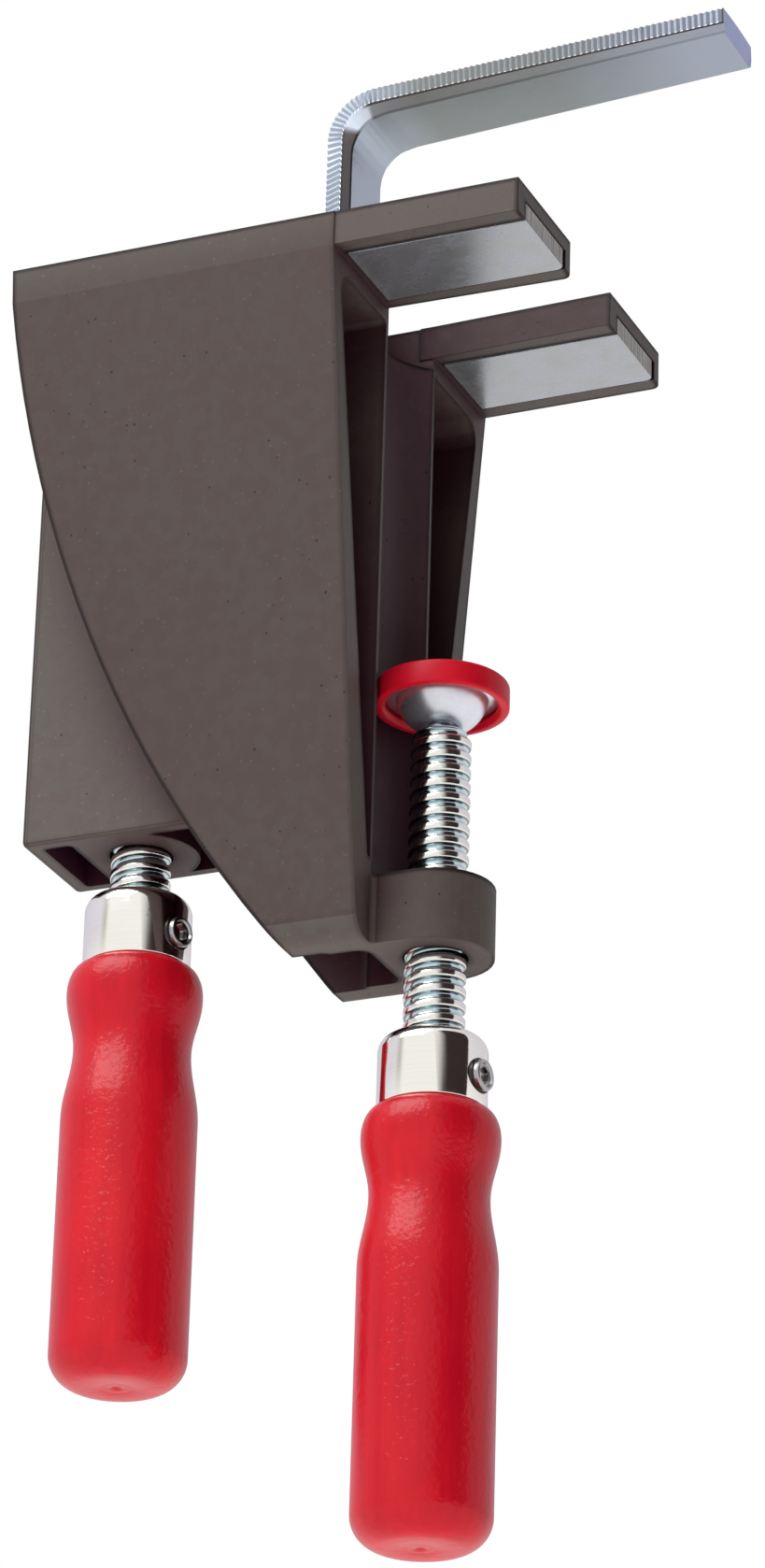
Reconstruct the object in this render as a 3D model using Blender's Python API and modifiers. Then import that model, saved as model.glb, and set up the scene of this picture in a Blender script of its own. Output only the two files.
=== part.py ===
"""Window frame clamp: a V-shaped cast body with two steel-faced jaw fingers, a hook
that the rear spindle raises and lowers, and a clamp spindle with a swivel pad.
Metres, +Z up. The origin is on the clamp spindle's axis, level with the jaw faces;
+X is the way the fingers and the hook reach, and Y = 0 is the plane of symmetry."""

import math

import bmesh
import bpy
from mathutils import Matrix, Vector

# shared clearances and overruns
seat_gap = 0.0003
thread_gap = 0.0003
slide_gap = 0.0004
cut_overrun = 0.004
weld_distance = 0.000001

# body, the cast shape seen from the front (X and Z)
root_x = -0.0085
body_left_x = -0.0778
body_foot_x = -0.0252
body_arc_center_z = 0.0149
finger_height = 0.0074
body_bottom_z = -0.1346

# body, the cast shape seen along the fingers (Y and Z)
body_half_width = 0.0388
flank_lean = 0.155
foot_round = 0.0057
casting_wall = 0.003
pocket_top_z = -0.0033
pocket_top_half_width = 0.0348
pocket_tip_half_width = 0.0136
pocket_tip_z = -0.1176
pocket_corner_round = 0.0045
pocket_inner_round = 0.0012
pocket_tip_round_share = 0.4

# box, the hollow column that guides the carriage
box_left_x = -0.0825
box_half_width = 0.0125
box_bottom_z = -0.1048
box_edge_round = 0.0012
cavity_left_x = -0.0788
cavity_right_x = -0.0172
cavity_half_width = 0.010
cavity_floor_z = -0.090
cavity_corner_round = 0.0015
channel_edge_half_width = 0.01135
channel_overlap = 0.001

# fingers and the steel jaw inserts
finger_end_x = 0.0296
finger_side_step = 0.0003
finger_end_half_gap = 0.010
finger_end_round = 0.0018
finger_underside_z = 0.00015
slot_floor_z = -0.002
slot_length = 0.0195
insert_outer_rim = 0.0039
insert_inner_rim = 0.0029
insert_root_rim = 0.0007
insert_thickness = 0.0038
insert_end_round = 0.0015

# spindles, shared by both
thread_radius = 0.0059
tang_radius = 0.0046
tang_length = 0.036
lift_axis_x = -0.0625

# boss of the clamp spindle, boss of the lift spindle and the cored undersides
nose_radius = 0.0112
nose_height = 0.0141
nose_fillet = 0.001
lift_boss_radius = 0.0115
underside_half_width = 0.0095
underside_right_x = -0.0104
toe_half_width = 0.0086
underside_round = 0.0025
underside_floor = 0.004
nose_core_depth = 0.0106
rear_core_width = 0.0058
rear_core_half_width = 0.0097
rear_core_depth = 0.0108
rear_core_round = 0.001

# hook bar
bar_thickness = 0.0052
bar_half_width = 0.008
bar_edge_height = 0.0032
bar_edge_inset = 0.0007
bar_outer_x = -0.0246
bar_bend_outer_radius = 0.0104
bar_foot_z = -0.0377
bar_top_z = 0.0531
bar_end_x = 0.060
bar_opening_angle = math.radians(92.1)
bar_thickness_shares = ((-0.23, 1), (-0.1, 1.05), (0, 1.17), (0.25, 1.29), (0.5, 1.34),
                        (0.75, 1.33), (1, 1.27), (1.18, 1.18))
bar_tip_thickness_share = 1.04

# carriage
carriage_left_x = -0.0725
carriage_top_z = -0.018
carriage_height = 0.022
carriage_corner_round = 0.005
hook_pin_radius = 0.0015
hook_pin_gap = 0.0002
hook_pin_spacing = 0.008
hook_pin_depth = 0.007
hook_pin_wall = 0.003

# lift spindle's bearing in the carriage
neck_radius = 0.0041
bearing_counterbore_radius = 0.0078
bearing_counterbore_depth = 0.008
washer_radius = 0.0071
washer_thickness = 0.0009
clip_radius = 0.0064
clip_thickness = 0.001
clip_groove_radius = 0.0032
clip_mouth_angle = math.radians(70)
neck_end = 0.0015

# swivel pad
pad_radius = 0.013
pad_top_z = -0.0781
pad_height = 0.0049
pad_face_thickness = 0.0011
pad_rim_wall = 0.0017
pad_edge_round = 0.0006
pad_bead = 0.0006
plate_thickness = 0.0009
plate_rim_thickness = 0.0015
plate_rim_width = 0.0015
plate_lip_thickness = 0.0008
plate_dome_round = 0.0076
ball_radius = 0.0031
ball_neck_radius = 0.002
ball_neck_length = 0.0096
ball_ring_thickness = 0.0006
spindle_end_gap = 0.0009
ring_lower_angle = math.radians(52)
ring_upper_angle = math.radians(85)
plate_mouth_angle = math.radians(48)

# ferrules, set screws and handles
clamp_ferrule_top_z = -0.1508
lift_ferrule_top_z = -0.114
ferrule_radius = 0.0104
ferrule_height = 0.0145
ferrule_wall = 0.0009
ferrule_shoulder_round = 0.0032
ferrule_roof = 0.0012
set_screw_radius = 0.0024
set_screw_drop = 0.0091
set_screw_proud = 0.0008
clamp_screw_turn = math.radians(-8)
lift_screw_turn = math.radians(-16)
hex_socket_radius = 0.0015
hex_socket_depth = 0.002
handle_radius = 0.0131
handle_length = 0.0838
handle_waist_radius = 0.0113
handle_waist_depth = 0.0167
handle_shoulder_depth = 0.0052
handle_grip_depth = 0.031
handle_end_round = 0.0062
tenon_height = 0.0105

round_steps = 36
arc_steps = 24
corner_steps = 5

# worked out from the sizes above
body_arc_sag = body_foot_x - body_left_x
body_arc_drop = body_bottom_z - body_arc_center_z
body_arc_radius = (body_arc_sag ** 2 + body_arc_drop ** 2) / body_arc_sag / 2
body_arc_center_x = body_left_x + body_arc_radius
spindle_bore_radius = thread_radius + thread_gap
boss_top_z = body_bottom_z + nose_height
channel_radius = math.hypot(root_x, channel_edge_half_width)
bar_leg_length = bar_top_z - bar_bend_outer_radius - bar_foot_z
bar_bend_turn = math.pi - bar_opening_angle
bar_bend_length = bar_bend_outer_radius * bar_bend_turn
ball_center_z = (pad_top_z - pad_face_thickness - seat_gap - plate_thickness
                 - seat_gap - ball_radius)
ring_inner_radius = ball_radius + seat_gap
ring_outer_radius = ring_inner_radius + ball_ring_thickness
plate_cup_radius = ring_outer_radius + seat_gap
carriage_bottom_z = carriage_top_z - carriage_height
carriage_right_x = cavity_right_x - slide_gap
thrust_washer_top_z = carriage_bottom_z - seat_gap
thread_shoulder_z = thrust_washer_top_z - washer_thickness - seat_gap


def empty_the_scene():
    for thing in list(bpy.data.objects):
        bpy.data.objects.remove(thing, do_unlink=True)
    for group in list(bpy.data.collections):
        bpy.data.collections.remove(group)


def new_collection(name):
    group = bpy.data.collections.new(name)
    bpy.context.scene.collection.children.link(group)
    return group


empty_the_scene()
clamp_parts = new_collection("window_frame_clamp")
cutters = new_collection("clamp_cutters")
cutters.hide_render = True


def finish(name, color, metallic, roughness):
    shade = bpy.data.materials.new(name)
    shade.use_nodes = True
    shader = shade.node_tree.nodes["Principled BSDF"]
    shader.inputs["Base Color"].default_value = (*color, 1)
    shader.inputs["Metallic"].default_value = metallic
    shader.inputs["Roughness"].default_value = roughness
    return shade


def cast_metal(name):
    return finish(name, (0.10, 0.088, 0.08), 0.2, 0.6)


def zinc_steel(name):
    return finish(name, (0.55, 0.58, 0.62), 1, 0.35)


def bright_steel(name):
    return finish(name, (0.7, 0.7, 0.7), 1, 0.2)


def red_lacquer(name):
    return finish(name, (0.62, 0.02, 0.02), 0, 0.25)


def arc(center, radius, start, end, steps):
    """Points of a round stretch, start and end angles in radians."""
    return [(center[0] + radius * math.cos(start + (end - start) * i / steps),
             center[1] + radius * math.sin(start + (end - start) * i / steps))
            for i in range(steps + 1)]


def arc_between(first, last, radius):
    """Round stretch from first to last, turning to the right on its way."""
    start, end = Vector(first), Vector(last)
    chord = end - start
    aside = Vector((chord.y, -chord.x)).normalized()
    center = (start + end) / 2 + aside * math.sqrt(radius ** 2 - (chord.length / 2) ** 2)
    spoke = start - center
    angle = math.atan2(spoke.y, spoke.x)
    sweep = 2 * math.asin(chord.length / 2 / radius)
    return arc(center, radius, angle, angle - sweep, corner_steps)


def rounded(corners, radii):
    """Outline through the corners, each rounded by its radius."""
    outline = []
    count = len(corners)
    for i, corner in enumerate(corners):
        here = Vector(corner)
        before = (Vector(corners[i - 1]) - here).normalized()
        after = (Vector(corners[(i + 1) % count]) - here).normalized()
        if radii[i] == 0:
            outline.append(tuple(here))
            continue
        half = before.angle(after) / 2
        back = radii[i] / math.tan(half)
        middle = here + (before + after).normalized() * radii[i] / math.sin(half)
        first = here + before * back - middle
        last = here + after * back - middle
        sweep = first.angle_signed(last)
        for step in range(corner_steps + 1):
            spoke = first.copy()
            spoke.rotate(Matrix.Rotation(-sweep * step / corner_steps, 2))
            outline.append(tuple(middle + spoke))
    return outline


def mesh_object(name, mesh, group, material=None):
    thing = bpy.data.objects.new(name, mesh)
    group.objects.link(thing)
    if material:
        mesh.materials.clear()
        mesh.materials.append(material)
    if group == cutters:
        thing.display_type = "WIRE"
        thing.hide_render = True
    return thing


def solid_from(source, name, group, material):
    """Keeps the evaluated shape of a scratch object as a clean mesh."""
    graph = bpy.context.evaluated_depsgraph_get()
    mesh = bpy.data.meshes.new_from_object(source.evaluated_get(graph))
    bpy.data.objects.remove(source, do_unlink=True)
    work = bmesh.new()
    work.from_mesh(mesh)
    bmesh.ops.remove_doubles(work, verts=work.verts, dist=weld_distance)
    bmesh.ops.recalc_face_normals(work, faces=work.faces)
    work.to_mesh(mesh)
    work.free()
    return mesh_object(name, mesh, group, material)


def slab(name, outline, low, high, axis, group=None, material=None):
    """Flat outline made solid from low to high along X, Y or Z.
    The outline's axes are (Y, Z) along X, (X, Z) along Y and (X, Y) along Z."""
    curve = bpy.data.curves.new(name, "CURVE")
    curve.dimensions = "2D"
    curve.fill_mode = "BOTH"
    line = curve.splines.new("POLY")
    line.points.add(len(outline) - 1)
    for point, (across, up) in zip(line.points, outline):
        point.co = (across, up, 0, 1)
    line.use_cyclic_u = True
    curve.extrude = (high - low) / 2
    source = bpy.data.objects.new(name, curve)
    cutters.objects.link(source)
    bpy.context.view_layer.update()
    thing = solid_from(source, name, group or cutters, material)
    middle = (high + low) / 2
    turn = {
        "X": Matrix(((0, 0, 1, middle), (1, 0, 0, 0), (0, 1, 0, 0), (0, 0, 0, 1))),
        "Y": Matrix(((1, 0, 0, 0), (0, 0, 1, middle), (0, 1, 0, 0), (0, 0, 0, 1))),
        "Z": Matrix.Translation((0, 0, middle)),
    }[axis]
    thing.data.transform(turn)
    if turn.determinant() < 0:
        thing.data.flip_normals()
    return thing


def block(name, x_span, y_span, z_span, group=None, material=None):
    work = bmesh.new()
    bmesh.ops.create_cube(work, size=1)
    mesh = bpy.data.meshes.new(name)
    size = [max(span) - min(span) for span in (x_span, y_span, z_span)]
    middle = [(span[0] + span[1]) / 2 for span in (x_span, y_span, z_span)]
    bmesh.ops.scale(work, vec=size, verts=work.verts)
    bmesh.ops.translate(work, vec=middle, verts=work.verts)
    work.to_mesh(mesh)
    work.free()
    return mesh_object(name, mesh, group or cutters, material)


def rod(name, radius, low, high, place, axis="Z", group=None, material=None):
    """Plain cylinder along an axis, from low to high on it."""
    work = bmesh.new()
    bmesh.ops.create_cone(work, cap_ends=True, segments=round_steps, radius1=radius,
                          radius2=radius, depth=high - low)
    mesh = bpy.data.meshes.new(name)
    turn = Matrix() if axis == "Z" else Matrix.Rotation(math.pi / 2, 4, "Y")
    along = Vector((0, 0, 1)) if axis == "Z" else Vector((1, 0, 0))
    bmesh.ops.transform(work, matrix=turn, verts=work.verts)
    bmesh.ops.translate(work, vec=along * (high + low) / 2 + Vector(place), verts=work.verts)
    work.to_mesh(mesh)
    work.free()
    thing = mesh_object(name, mesh, group or cutters, material)
    smooth(thing)
    return thing


def smooth(thing):
    thing.data.shade_smooth()
    for face in thing.data.polygons:
        if len(face.vertices) > 4:
            face.use_smooth = False


def turned(name, profile, place, group=None, material=None, steps=None):
    """Profile of (radius, height) pairs spun about a vertical axis through place."""
    steps = steps or round_steps
    mesh = bpy.data.meshes.new(name)
    points = [(radius, 0, height) for radius, height in profile]
    closed = profile[0][0] > 0 and profile[-1][0] > 0
    edges = [(i, i + 1) for i in range(len(points) - 1)]
    if closed:
        edges.append((len(points) - 1, 0))
    mesh.from_pydata(points, edges, [])
    source = bpy.data.objects.new(name, mesh)
    cutters.objects.link(source)
    spin = source.modifiers.new("spin", "SCREW")
    spin.steps = steps
    spin.render_steps = steps
    spin.use_merge_vertices = True
    spin.merge_threshold = weld_distance
    bpy.context.view_layer.update()
    thing = solid_from(source, name, group or cutters, material)
    thing.location = place
    thing.data.shade_smooth()
    return thing


def combine(target, tool, way):
    step = target.modifiers.new(f"{way.lower()} {tool.name}", "BOOLEAN")
    step.operation = way
    step.solver = "EXACT"
    step.object = tool
    return step


def flank_half_width(z):
    """Half width of the leaning flanks at a height below the jaw plane."""
    return body_half_width + flank_lean * min(z, 0)


def body_arc_x(z, inset=0):
    """X of the curved rear wall at a height, moved inwards by the inset."""
    reach = body_arc_radius - inset
    return body_arc_center_x - math.sqrt(reach ** 2 - (z - body_arc_center_z) ** 2)


def body_end_outline():
    """The body seen along the fingers: upright band, leaning flanks, rounded foot."""
    half = [(body_half_width, finger_height), (body_half_width, 0),
            (flank_half_width(body_bottom_z), body_bottom_z)]
    radii = [0, 0, foot_round]
    corners = half + [(-across, up) for across, up in reversed(half)]
    return rounded(corners, radii + radii[::-1])


def body_side_outline(inset, top, bottom, right):
    """The body seen from the front: curved rear wall, straight front edge."""
    curve = []
    for i in range(arc_steps + 1):
        z = top + (bottom - top) * i / arc_steps
        curve.append((body_arc_x(z, inset), z))
    return curve + [(right, bottom), (right, top)]


def cast_box(housing):
    """The upright box stands out behind the curved wall."""
    box = block("box_form", (box_left_x, root_x - casting_wall), (-box_half_width, box_half_width),
                (box_bottom_z, finger_height))
    edge = box.modifiers.new("rounded edges", "BEVEL")
    edge.width = box_edge_round
    edge.segments = 3
    combine(housing, box, "UNION")


def cast_fingers(housing):
    """Two flat fingers that grow a little wider towards their ends."""
    inner = channel_edge_half_width - finger_side_step
    outer = body_half_width - finger_side_step
    back = root_x - casting_wall
    for side, sign, radii in (("front", -1, [0, 0, finger_end_round, 0, 0]),
                              ("rear", 1, [0, 0, 0, finger_end_round, 0])):
        corners = [(back, sign * inner), (root_x, sign * inner),
                   (finger_end_x, sign * finger_end_half_gap), (finger_end_x, sign * outer),
                   (back, sign * outer)]
        finger = slab(f"{side}_finger_form", rounded(corners, radii), finger_underside_z,
                      finger_height, "Z")
        combine(housing, finger, "UNION")


def cast_nose(housing):
    """Half-round boss that carries the clamp spindle, filleted into the body."""
    back = -channel_radius - seat_gap
    fillet_x = root_x + nose_fillet
    fillet_y = nose_radius + nose_fillet
    half = [(back, fillet_y)]
    half += arc((fillet_x, fillet_y), nose_fillet, math.pi, 1.5 * math.pi, corner_steps)
    half += arc((0, 0), nose_radius, math.pi / 2, 0, round_steps // 4)
    outline = half + [(x, -y) for x, y in reversed(half[:-1])]
    nose = slab("nose_form", outline, body_bottom_z, boss_top_z, "Z")
    combine(housing, nose, "UNION")


def pocket_outline(sign):
    """Tall triangular pocket beside the box, seen along the fingers."""
    corners = [(sign * box_half_width, pocket_top_z), (sign * pocket_top_half_width, pocket_top_z),
               (sign * pocket_tip_half_width, pocket_tip_z), (sign * box_half_width, pocket_tip_z)]
    tip_round = (pocket_tip_half_width - box_half_width) * pocket_tip_round_share
    return rounded(corners, [pocket_inner_round, pocket_corner_round, tip_round, tip_round])


def core_pockets(housing):
    """The flanks are cored from the front edge as far as the curved rear wall."""
    for side, sign in (("front", -1), ("rear", 1)):
        pocket = slab(f"{side}_pocket_core", pocket_outline(sign), -body_arc_radius,
                      root_x + cut_overrun, "X")
        limit = slab(f"{side}_pocket_limit",
                     body_side_outline(casting_wall, pocket_top_z + cut_overrun,
                                       pocket_tip_z - cut_overrun, root_x + cut_overrun * 2),
                     -body_half_width, body_half_width, "Y")
        combine(pocket, limit, "INTERSECT")
        combine(housing, pocket, "DIFFERENCE")


def core_cavity(housing):
    """Guide way of the carriage, open at the top, and the slot between the fingers."""
    left, right, half = cavity_left_x, cavity_right_x, cavity_half_width
    corners = [(left, -half), (right, -half), (right, half), (left, half)]
    cavity = slab("cavity_core", rounded(corners, [cavity_corner_round] * 4), cavity_floor_z,
                  finger_height + cut_overrun, "Z")
    combine(housing, cavity, "DIFFERENCE")
    slot = block("slot_core", (root_x - slot_length, root_x + cut_overrun),
                 (-channel_edge_half_width, channel_edge_half_width),
                 (slot_floor_z, finger_height + cut_overrun))
    combine(housing, slot, "DIFFERENCE")


def core_channel(housing):
    """Hollow front of the column, round about the clamp spindle, so that the pad clears it."""
    spread = math.atan2(channel_edge_half_width, root_x)
    outline = arc((0, 0), channel_radius, spread, 2 * math.pi - spread, round_steps)
    outside = root_x + cut_overrun
    outline += [(outside, -channel_edge_half_width), (outside, channel_edge_half_width)]
    channel = slab("pad_channel_core", outline, boss_top_z - casting_wall,
                   slot_floor_z + channel_overlap, "Z")
    combine(housing, channel, "DIFFERENCE")


def core_underside(housing):
    """Cores under the body: round the lift spindle's boss and behind the nose."""
    half = underside_half_width
    left = lift_axis_x + math.sqrt(lift_boss_radius ** 2 - half ** 2)
    spread = math.asin(half / lift_boss_radius)
    wall = cavity_right_x
    main = arc((lift_axis_x, 0), lift_boss_radius, spread, -spread, corner_steps * 2)
    main += rounded([(left, -half), (wall, -half), (wall, half), (left, half)],
                    [0, underside_round, underside_round, 0])[1:-1]
    top = cavity_floor_z - underside_floor
    bottom = body_bottom_z - cut_overrun
    combine(housing, slab("underside_core", main, bottom, top, "Z"), "DIFFERENCE")
    inner = wall - underside_round * 2
    narrow = toe_half_width
    toe = rounded([(inner, -narrow), (underside_right_x, -narrow), (underside_right_x, narrow),
                   (inner, narrow)], [0, underside_round, underside_round, 0])
    toe_top = body_bottom_z + nose_core_depth
    combine(housing, slab("nose_underside_core", toe, bottom, toe_top, "Z"), "DIFFERENCE")
    near, across = cavity_left_x, rear_core_half_width
    far = near + rear_core_width
    rear = rounded([(near, -across), (far, -across), (far, across), (near, across)],
                   [rear_core_round] * 4)
    combine(housing, slab("rear_underside_core", rear, box_bottom_z - cut_overrun,
                          box_bottom_z + rear_core_depth, "Z"), "DIFFERENCE")


def bore_bosses(housing):
    """The bores that the two spindles screw through."""
    clamp = rod("clamp_bore", spindle_bore_radius, body_bottom_z - cut_overrun,
                boss_top_z + cut_overrun, (0, 0, 0))
    lift = rod("lift_bore", spindle_bore_radius, box_bottom_z - cut_overrun,
               cavity_floor_z + cut_overrun, (lift_axis_x, 0, 0))
    combine(housing, clamp, "DIFFERENCE")
    combine(housing, lift, "DIFFERENCE")


def insert_span():
    """Inner and outer half widths of a jaw insert's recess."""
    inner = channel_edge_half_width + insert_inner_rim - seat_gap
    return inner, body_half_width - finger_side_step - insert_outer_rim


def core_insert_recesses(housing):
    inner, outer = insert_span()
    for side, sign in (("front", -1), ("rear", 1)):
        recess = block(f"{side}_insert_recess",
                       (root_x + insert_root_rim, finger_end_x + cut_overrun),
                       tuple(sorted((sign * inner, sign * outer))),
                       (-cut_overrun, insert_thickness + seat_gap))
        combine(housing, recess, "DIFFERENCE")


def make_housing():
    housing = slab("housing", body_end_outline(), body_left_x - cut_overrun,
                   root_x, "X", clamp_parts, cast_metal("cast_housing"))
    side = slab("body_side_form",
                body_side_outline(0, finger_height + cut_overrun, body_bottom_z - cut_overrun,
                                  root_x + cut_overrun),
                -body_half_width - cut_overrun, body_half_width + cut_overrun, "Y")
    combine(housing, side, "INTERSECT")
    cast_box(housing)
    core_pockets(housing)
    core_cavity(housing)
    core_channel(housing)
    cast_fingers(housing)
    cast_nose(housing)
    core_underside(housing)
    bore_bosses(housing)
    core_insert_recesses(housing)
    return housing


def make_jaw_inserts():
    inner, outer = insert_span()
    for side, sign, radii in (("front", -1, [0, insert_end_round, 0, 0]),
                              ("rear", 1, [0, 0, insert_end_round, 0])):
        near, far = sign * (inner + seat_gap), sign * (outer - seat_gap)
        root = root_x + insert_root_rim + seat_gap
        corners = [(root, near), (finger_end_x, near), (finger_end_x, far), (root, far)]
        slab(f"{side}_jaw_insert", rounded(corners, radii), 0, insert_thickness, "Z",
             clamp_parts, zinc_steel(f"{side}_insert_steel"))


def bar_section_place(way):
    """Outer line of the bar at a way from its foot, and the direction into the bar there."""
    turn = min(max((way - bar_leg_length) / bar_bend_outer_radius, 0), bar_bend_turn)
    inward = Vector((math.cos(turn), 0, -math.sin(turn)))
    center = Vector((bar_outer_x + bar_bend_outer_radius, 0, bar_foot_z + bar_leg_length))
    below = min(way - bar_leg_length, 0)
    beyond = max(way - bar_leg_length - bar_bend_length, 0)
    along = Vector((math.sin(turn), 0, math.cos(turn)))
    return center - inward * bar_bend_outer_radius + along * (below + beyond), inward


def bar_ring(way, thickness):
    """Section of the bar: toothed band on both edges, chamfers towards the inner face."""
    place, inward = bar_section_place(way)
    tip = bar_half_width - bar_edge_inset
    half = [(0, bar_half_width), (bar_edge_height, bar_half_width), (thickness, tip)]
    section = half + [(depth, -across) for depth, across in reversed(half)]
    return [place + inward * depth + Vector((0, across, 0)) for depth, across in section]


def bar_rings():
    """The sections that the bar is drawn through, from its foot to its tip."""
    tip_thickness = bar_thickness * bar_tip_thickness_share
    rings = [bar_ring(0, bar_thickness)]
    for i, (share, thick) in enumerate(bar_thickness_shares):
        way = bar_leg_length + bar_bend_length * share
        rings.append(bar_ring(way, bar_thickness * thick))
        if 0 <= share < 1:
            next_share, next_thick = bar_thickness_shares[i + 1]
            middle = bar_leg_length + bar_bend_length * (share + next_share) / 2
            rings.append(bar_ring(middle, bar_thickness * (thick + next_thick) / 2))
    bend_end, inward = bar_section_place(bar_leg_length + bar_bend_length)
    reach = bar_end_x - tip_thickness * inward.x - bend_end.x
    arm_length = reach / math.sin(bar_bend_turn)
    rings.append(bar_ring(bar_leg_length + bar_bend_length + arm_length, tip_thickness))
    return rings


def make_hook_bar():
    """Flat bar, bent the easy way into an L, thickest in the bend and thinner at its tip."""
    work = bmesh.new()
    corner = work.verts.layers.int.new("corner")
    rings = bar_rings()
    first = [work.verts.new(place) for place in rings[0]]
    for number, vert in enumerate(first):
        vert[corner] = number
    cap = work.faces.new(first)
    for ring in rings[1:]:
        grown = bmesh.ops.extrude_face_region(work, geom=[cap])
        cap = [item for item in grown["geom"] if isinstance(item, bmesh.types.BMFace)][0]
        for vert in cap.verts:
            vert.co = ring[vert[corner]]
    inside = [item for item in work.faces if all(len(edge.link_faces) > 2 for edge in item.edges)]
    bmesh.ops.delete(work, geom=inside, context="FACES_ONLY")
    bmesh.ops.recalc_face_normals(work, faces=work.faces)
    mesh = bpy.data.meshes.new("hook_bar")
    work.to_mesh(mesh)
    work.free()
    hook = mesh_object("hook_bar", mesh, clamp_parts, zinc_steel("hook_zinc"))
    for number in range(2):
        combine(hook, pin_hole(f"bar_pin_hole_{number + 1}", number), "DIFFERENCE")
    return hook


def pin_height(number):
    return carriage_top_z - hook_pin_depth - hook_pin_spacing * number


def pin_span():
    """X range of the pins that cross the carriage's socket and the bar."""
    return bar_outer_x - hook_pin_wall, carriage_right_x


def pin_hole(name, number):
    low, high = pin_span()
    return rod(name, hook_pin_radius + hook_pin_gap, low - seat_gap, high + cut_overrun,
               (0, 0, pin_height(number)), "X")


def make_carriage():
    half = cavity_half_width - slide_gap
    corners = [(carriage_left_x, -half), (carriage_right_x, -half),
               (carriage_right_x, half), (carriage_left_x, half)]
    radii = [carriage_corner_round, cavity_corner_round, cavity_corner_round,
             carriage_corner_round]
    carriage = slab("hook_carriage", rounded(corners, radii), carriage_bottom_z,
                    carriage_top_z, "Z", clamp_parts, cast_metal("carriage_casting"))
    socket = block("bar_socket", (bar_outer_x - seat_gap, bar_outer_x + bar_thickness + seat_gap),
                   (-bar_half_width - seat_gap, bar_half_width + seat_gap),
                   (bar_foot_z - seat_gap, carriage_top_z + cut_overrun))
    combine(carriage, socket, "DIFFERENCE")
    neck = rod("neck_bore", neck_radius + seat_gap, carriage_bottom_z - cut_overrun,
               carriage_top_z, (lift_axis_x, 0, 0))
    combine(carriage, neck, "DIFFERENCE")
    seat = rod("clip_counterbore", bearing_counterbore_radius,
               carriage_top_z - bearing_counterbore_depth, carriage_top_z + cut_overrun,
               (lift_axis_x, 0, 0))
    combine(carriage, seat, "DIFFERENCE")
    for number in range(2):
        combine(carriage, pin_hole(f"carriage_pin_hole_{number + 1}", number), "DIFFERENCE")
    return carriage


def make_hook_pins():
    low, high = pin_span()
    for number, name in enumerate(("upper_hook_pin", "lower_hook_pin")):
        rod(name, hook_pin_radius, low, high, (0, 0, pin_height(number)), "X", clamp_parts,
            bright_steel(f"{name}_steel"))


def washer(name, low):
    inner = neck_radius + seat_gap
    high = low + washer_thickness
    turned(name, [(inner, high), (washer_radius, high), (washer_radius, low), (inner, low)],
           (lift_axis_x, 0, 0), clamp_parts, bright_steel(f"{name}_steel"))


def clip_bottom():
    floor = carriage_top_z - bearing_counterbore_depth
    return floor + seat_gap + washer_thickness + seat_gap


def make_lift_bearing():
    """Thrust washers and the retaining clip that hold the spindle in the carriage."""
    washer("lower_thrust_washer", thrust_washer_top_z - washer_thickness)
    washer("upper_thrust_washer", carriage_top_z - bearing_counterbore_depth + seat_gap)
    low = clip_bottom()
    inner = clip_groove_radius + seat_gap
    mouth = clip_mouth_angle / 2
    outline = arc((0, 0), clip_radius, mouth, 2 * math.pi - mouth, round_steps)
    outline += arc((0, 0), inner, 2 * math.pi - mouth, mouth, round_steps)
    clip = slab("retaining_clip", outline, low, low + clip_thickness, "Z", clamp_parts,
                bright_steel("retaining_clip_steel"))
    clip.location = (lift_axis_x, 0, 0)


def make_lift_spindle():
    """Threaded spindle, shown plain here, with a neck that turns in the carriage."""
    groove_low = clip_bottom() - seat_gap
    groove_high = clip_bottom() + clip_thickness + seat_gap
    foot = lift_ferrule_top_z - ferrule_roof - seat_gap
    chamfer = thread_radius - tang_radius
    profile = [(0, groove_high + neck_end), (neck_radius, groove_high + neck_end),
               (neck_radius, groove_high), (clip_groove_radius, groove_high),
               (clip_groove_radius, groove_low), (neck_radius, groove_low),
               (neck_radius, thread_shoulder_z), (thread_radius, thread_shoulder_z),
               (thread_radius, foot), (tang_radius, foot - chamfer),
               (tang_radius, foot - tang_length), (0, foot - tang_length)]
    turned("lift_spindle", profile, (lift_axis_x, 0, 0), clamp_parts, zinc_steel("lift_zinc"))


def sphere_arc(radius, start, end, steps=corner_steps):
    """Stretch of a sphere round the ball's centre; angles run up from straight down."""
    return [(radius * math.sin(start + (end - start) * i / steps),
             ball_center_z - radius * math.cos(start + (end - start) * i / steps))
            for i in range(steps + 1)]


def plate_mouth_z():
    return ball_center_z - plate_cup_radius * math.cos(plate_mouth_angle)


def make_clamp_spindle():
    """Threaded spindle, shown plain here, with a bore for the stem of the ball stud."""
    top = plate_mouth_z() - plate_lip_thickness / 2 - spindle_end_gap
    foot = clamp_ferrule_top_z - ferrule_roof - seat_gap
    chamfer = thread_radius - tang_radius
    bore = ball_neck_radius + seat_gap
    bore_end = ball_center_z - ball_neck_length - seat_gap
    profile = [(0, bore_end), (bore, bore_end), (bore, top), (tang_radius, top),
               (thread_radius, top - chamfer), (thread_radius, foot),
               (tang_radius, foot - chamfer), (tang_radius, foot - tang_length),
               (0, foot - tang_length)]
    turned("clamp_spindle", profile, (0, 0, 0), clamp_parts, zinc_steel("clamp_zinc"))


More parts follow.
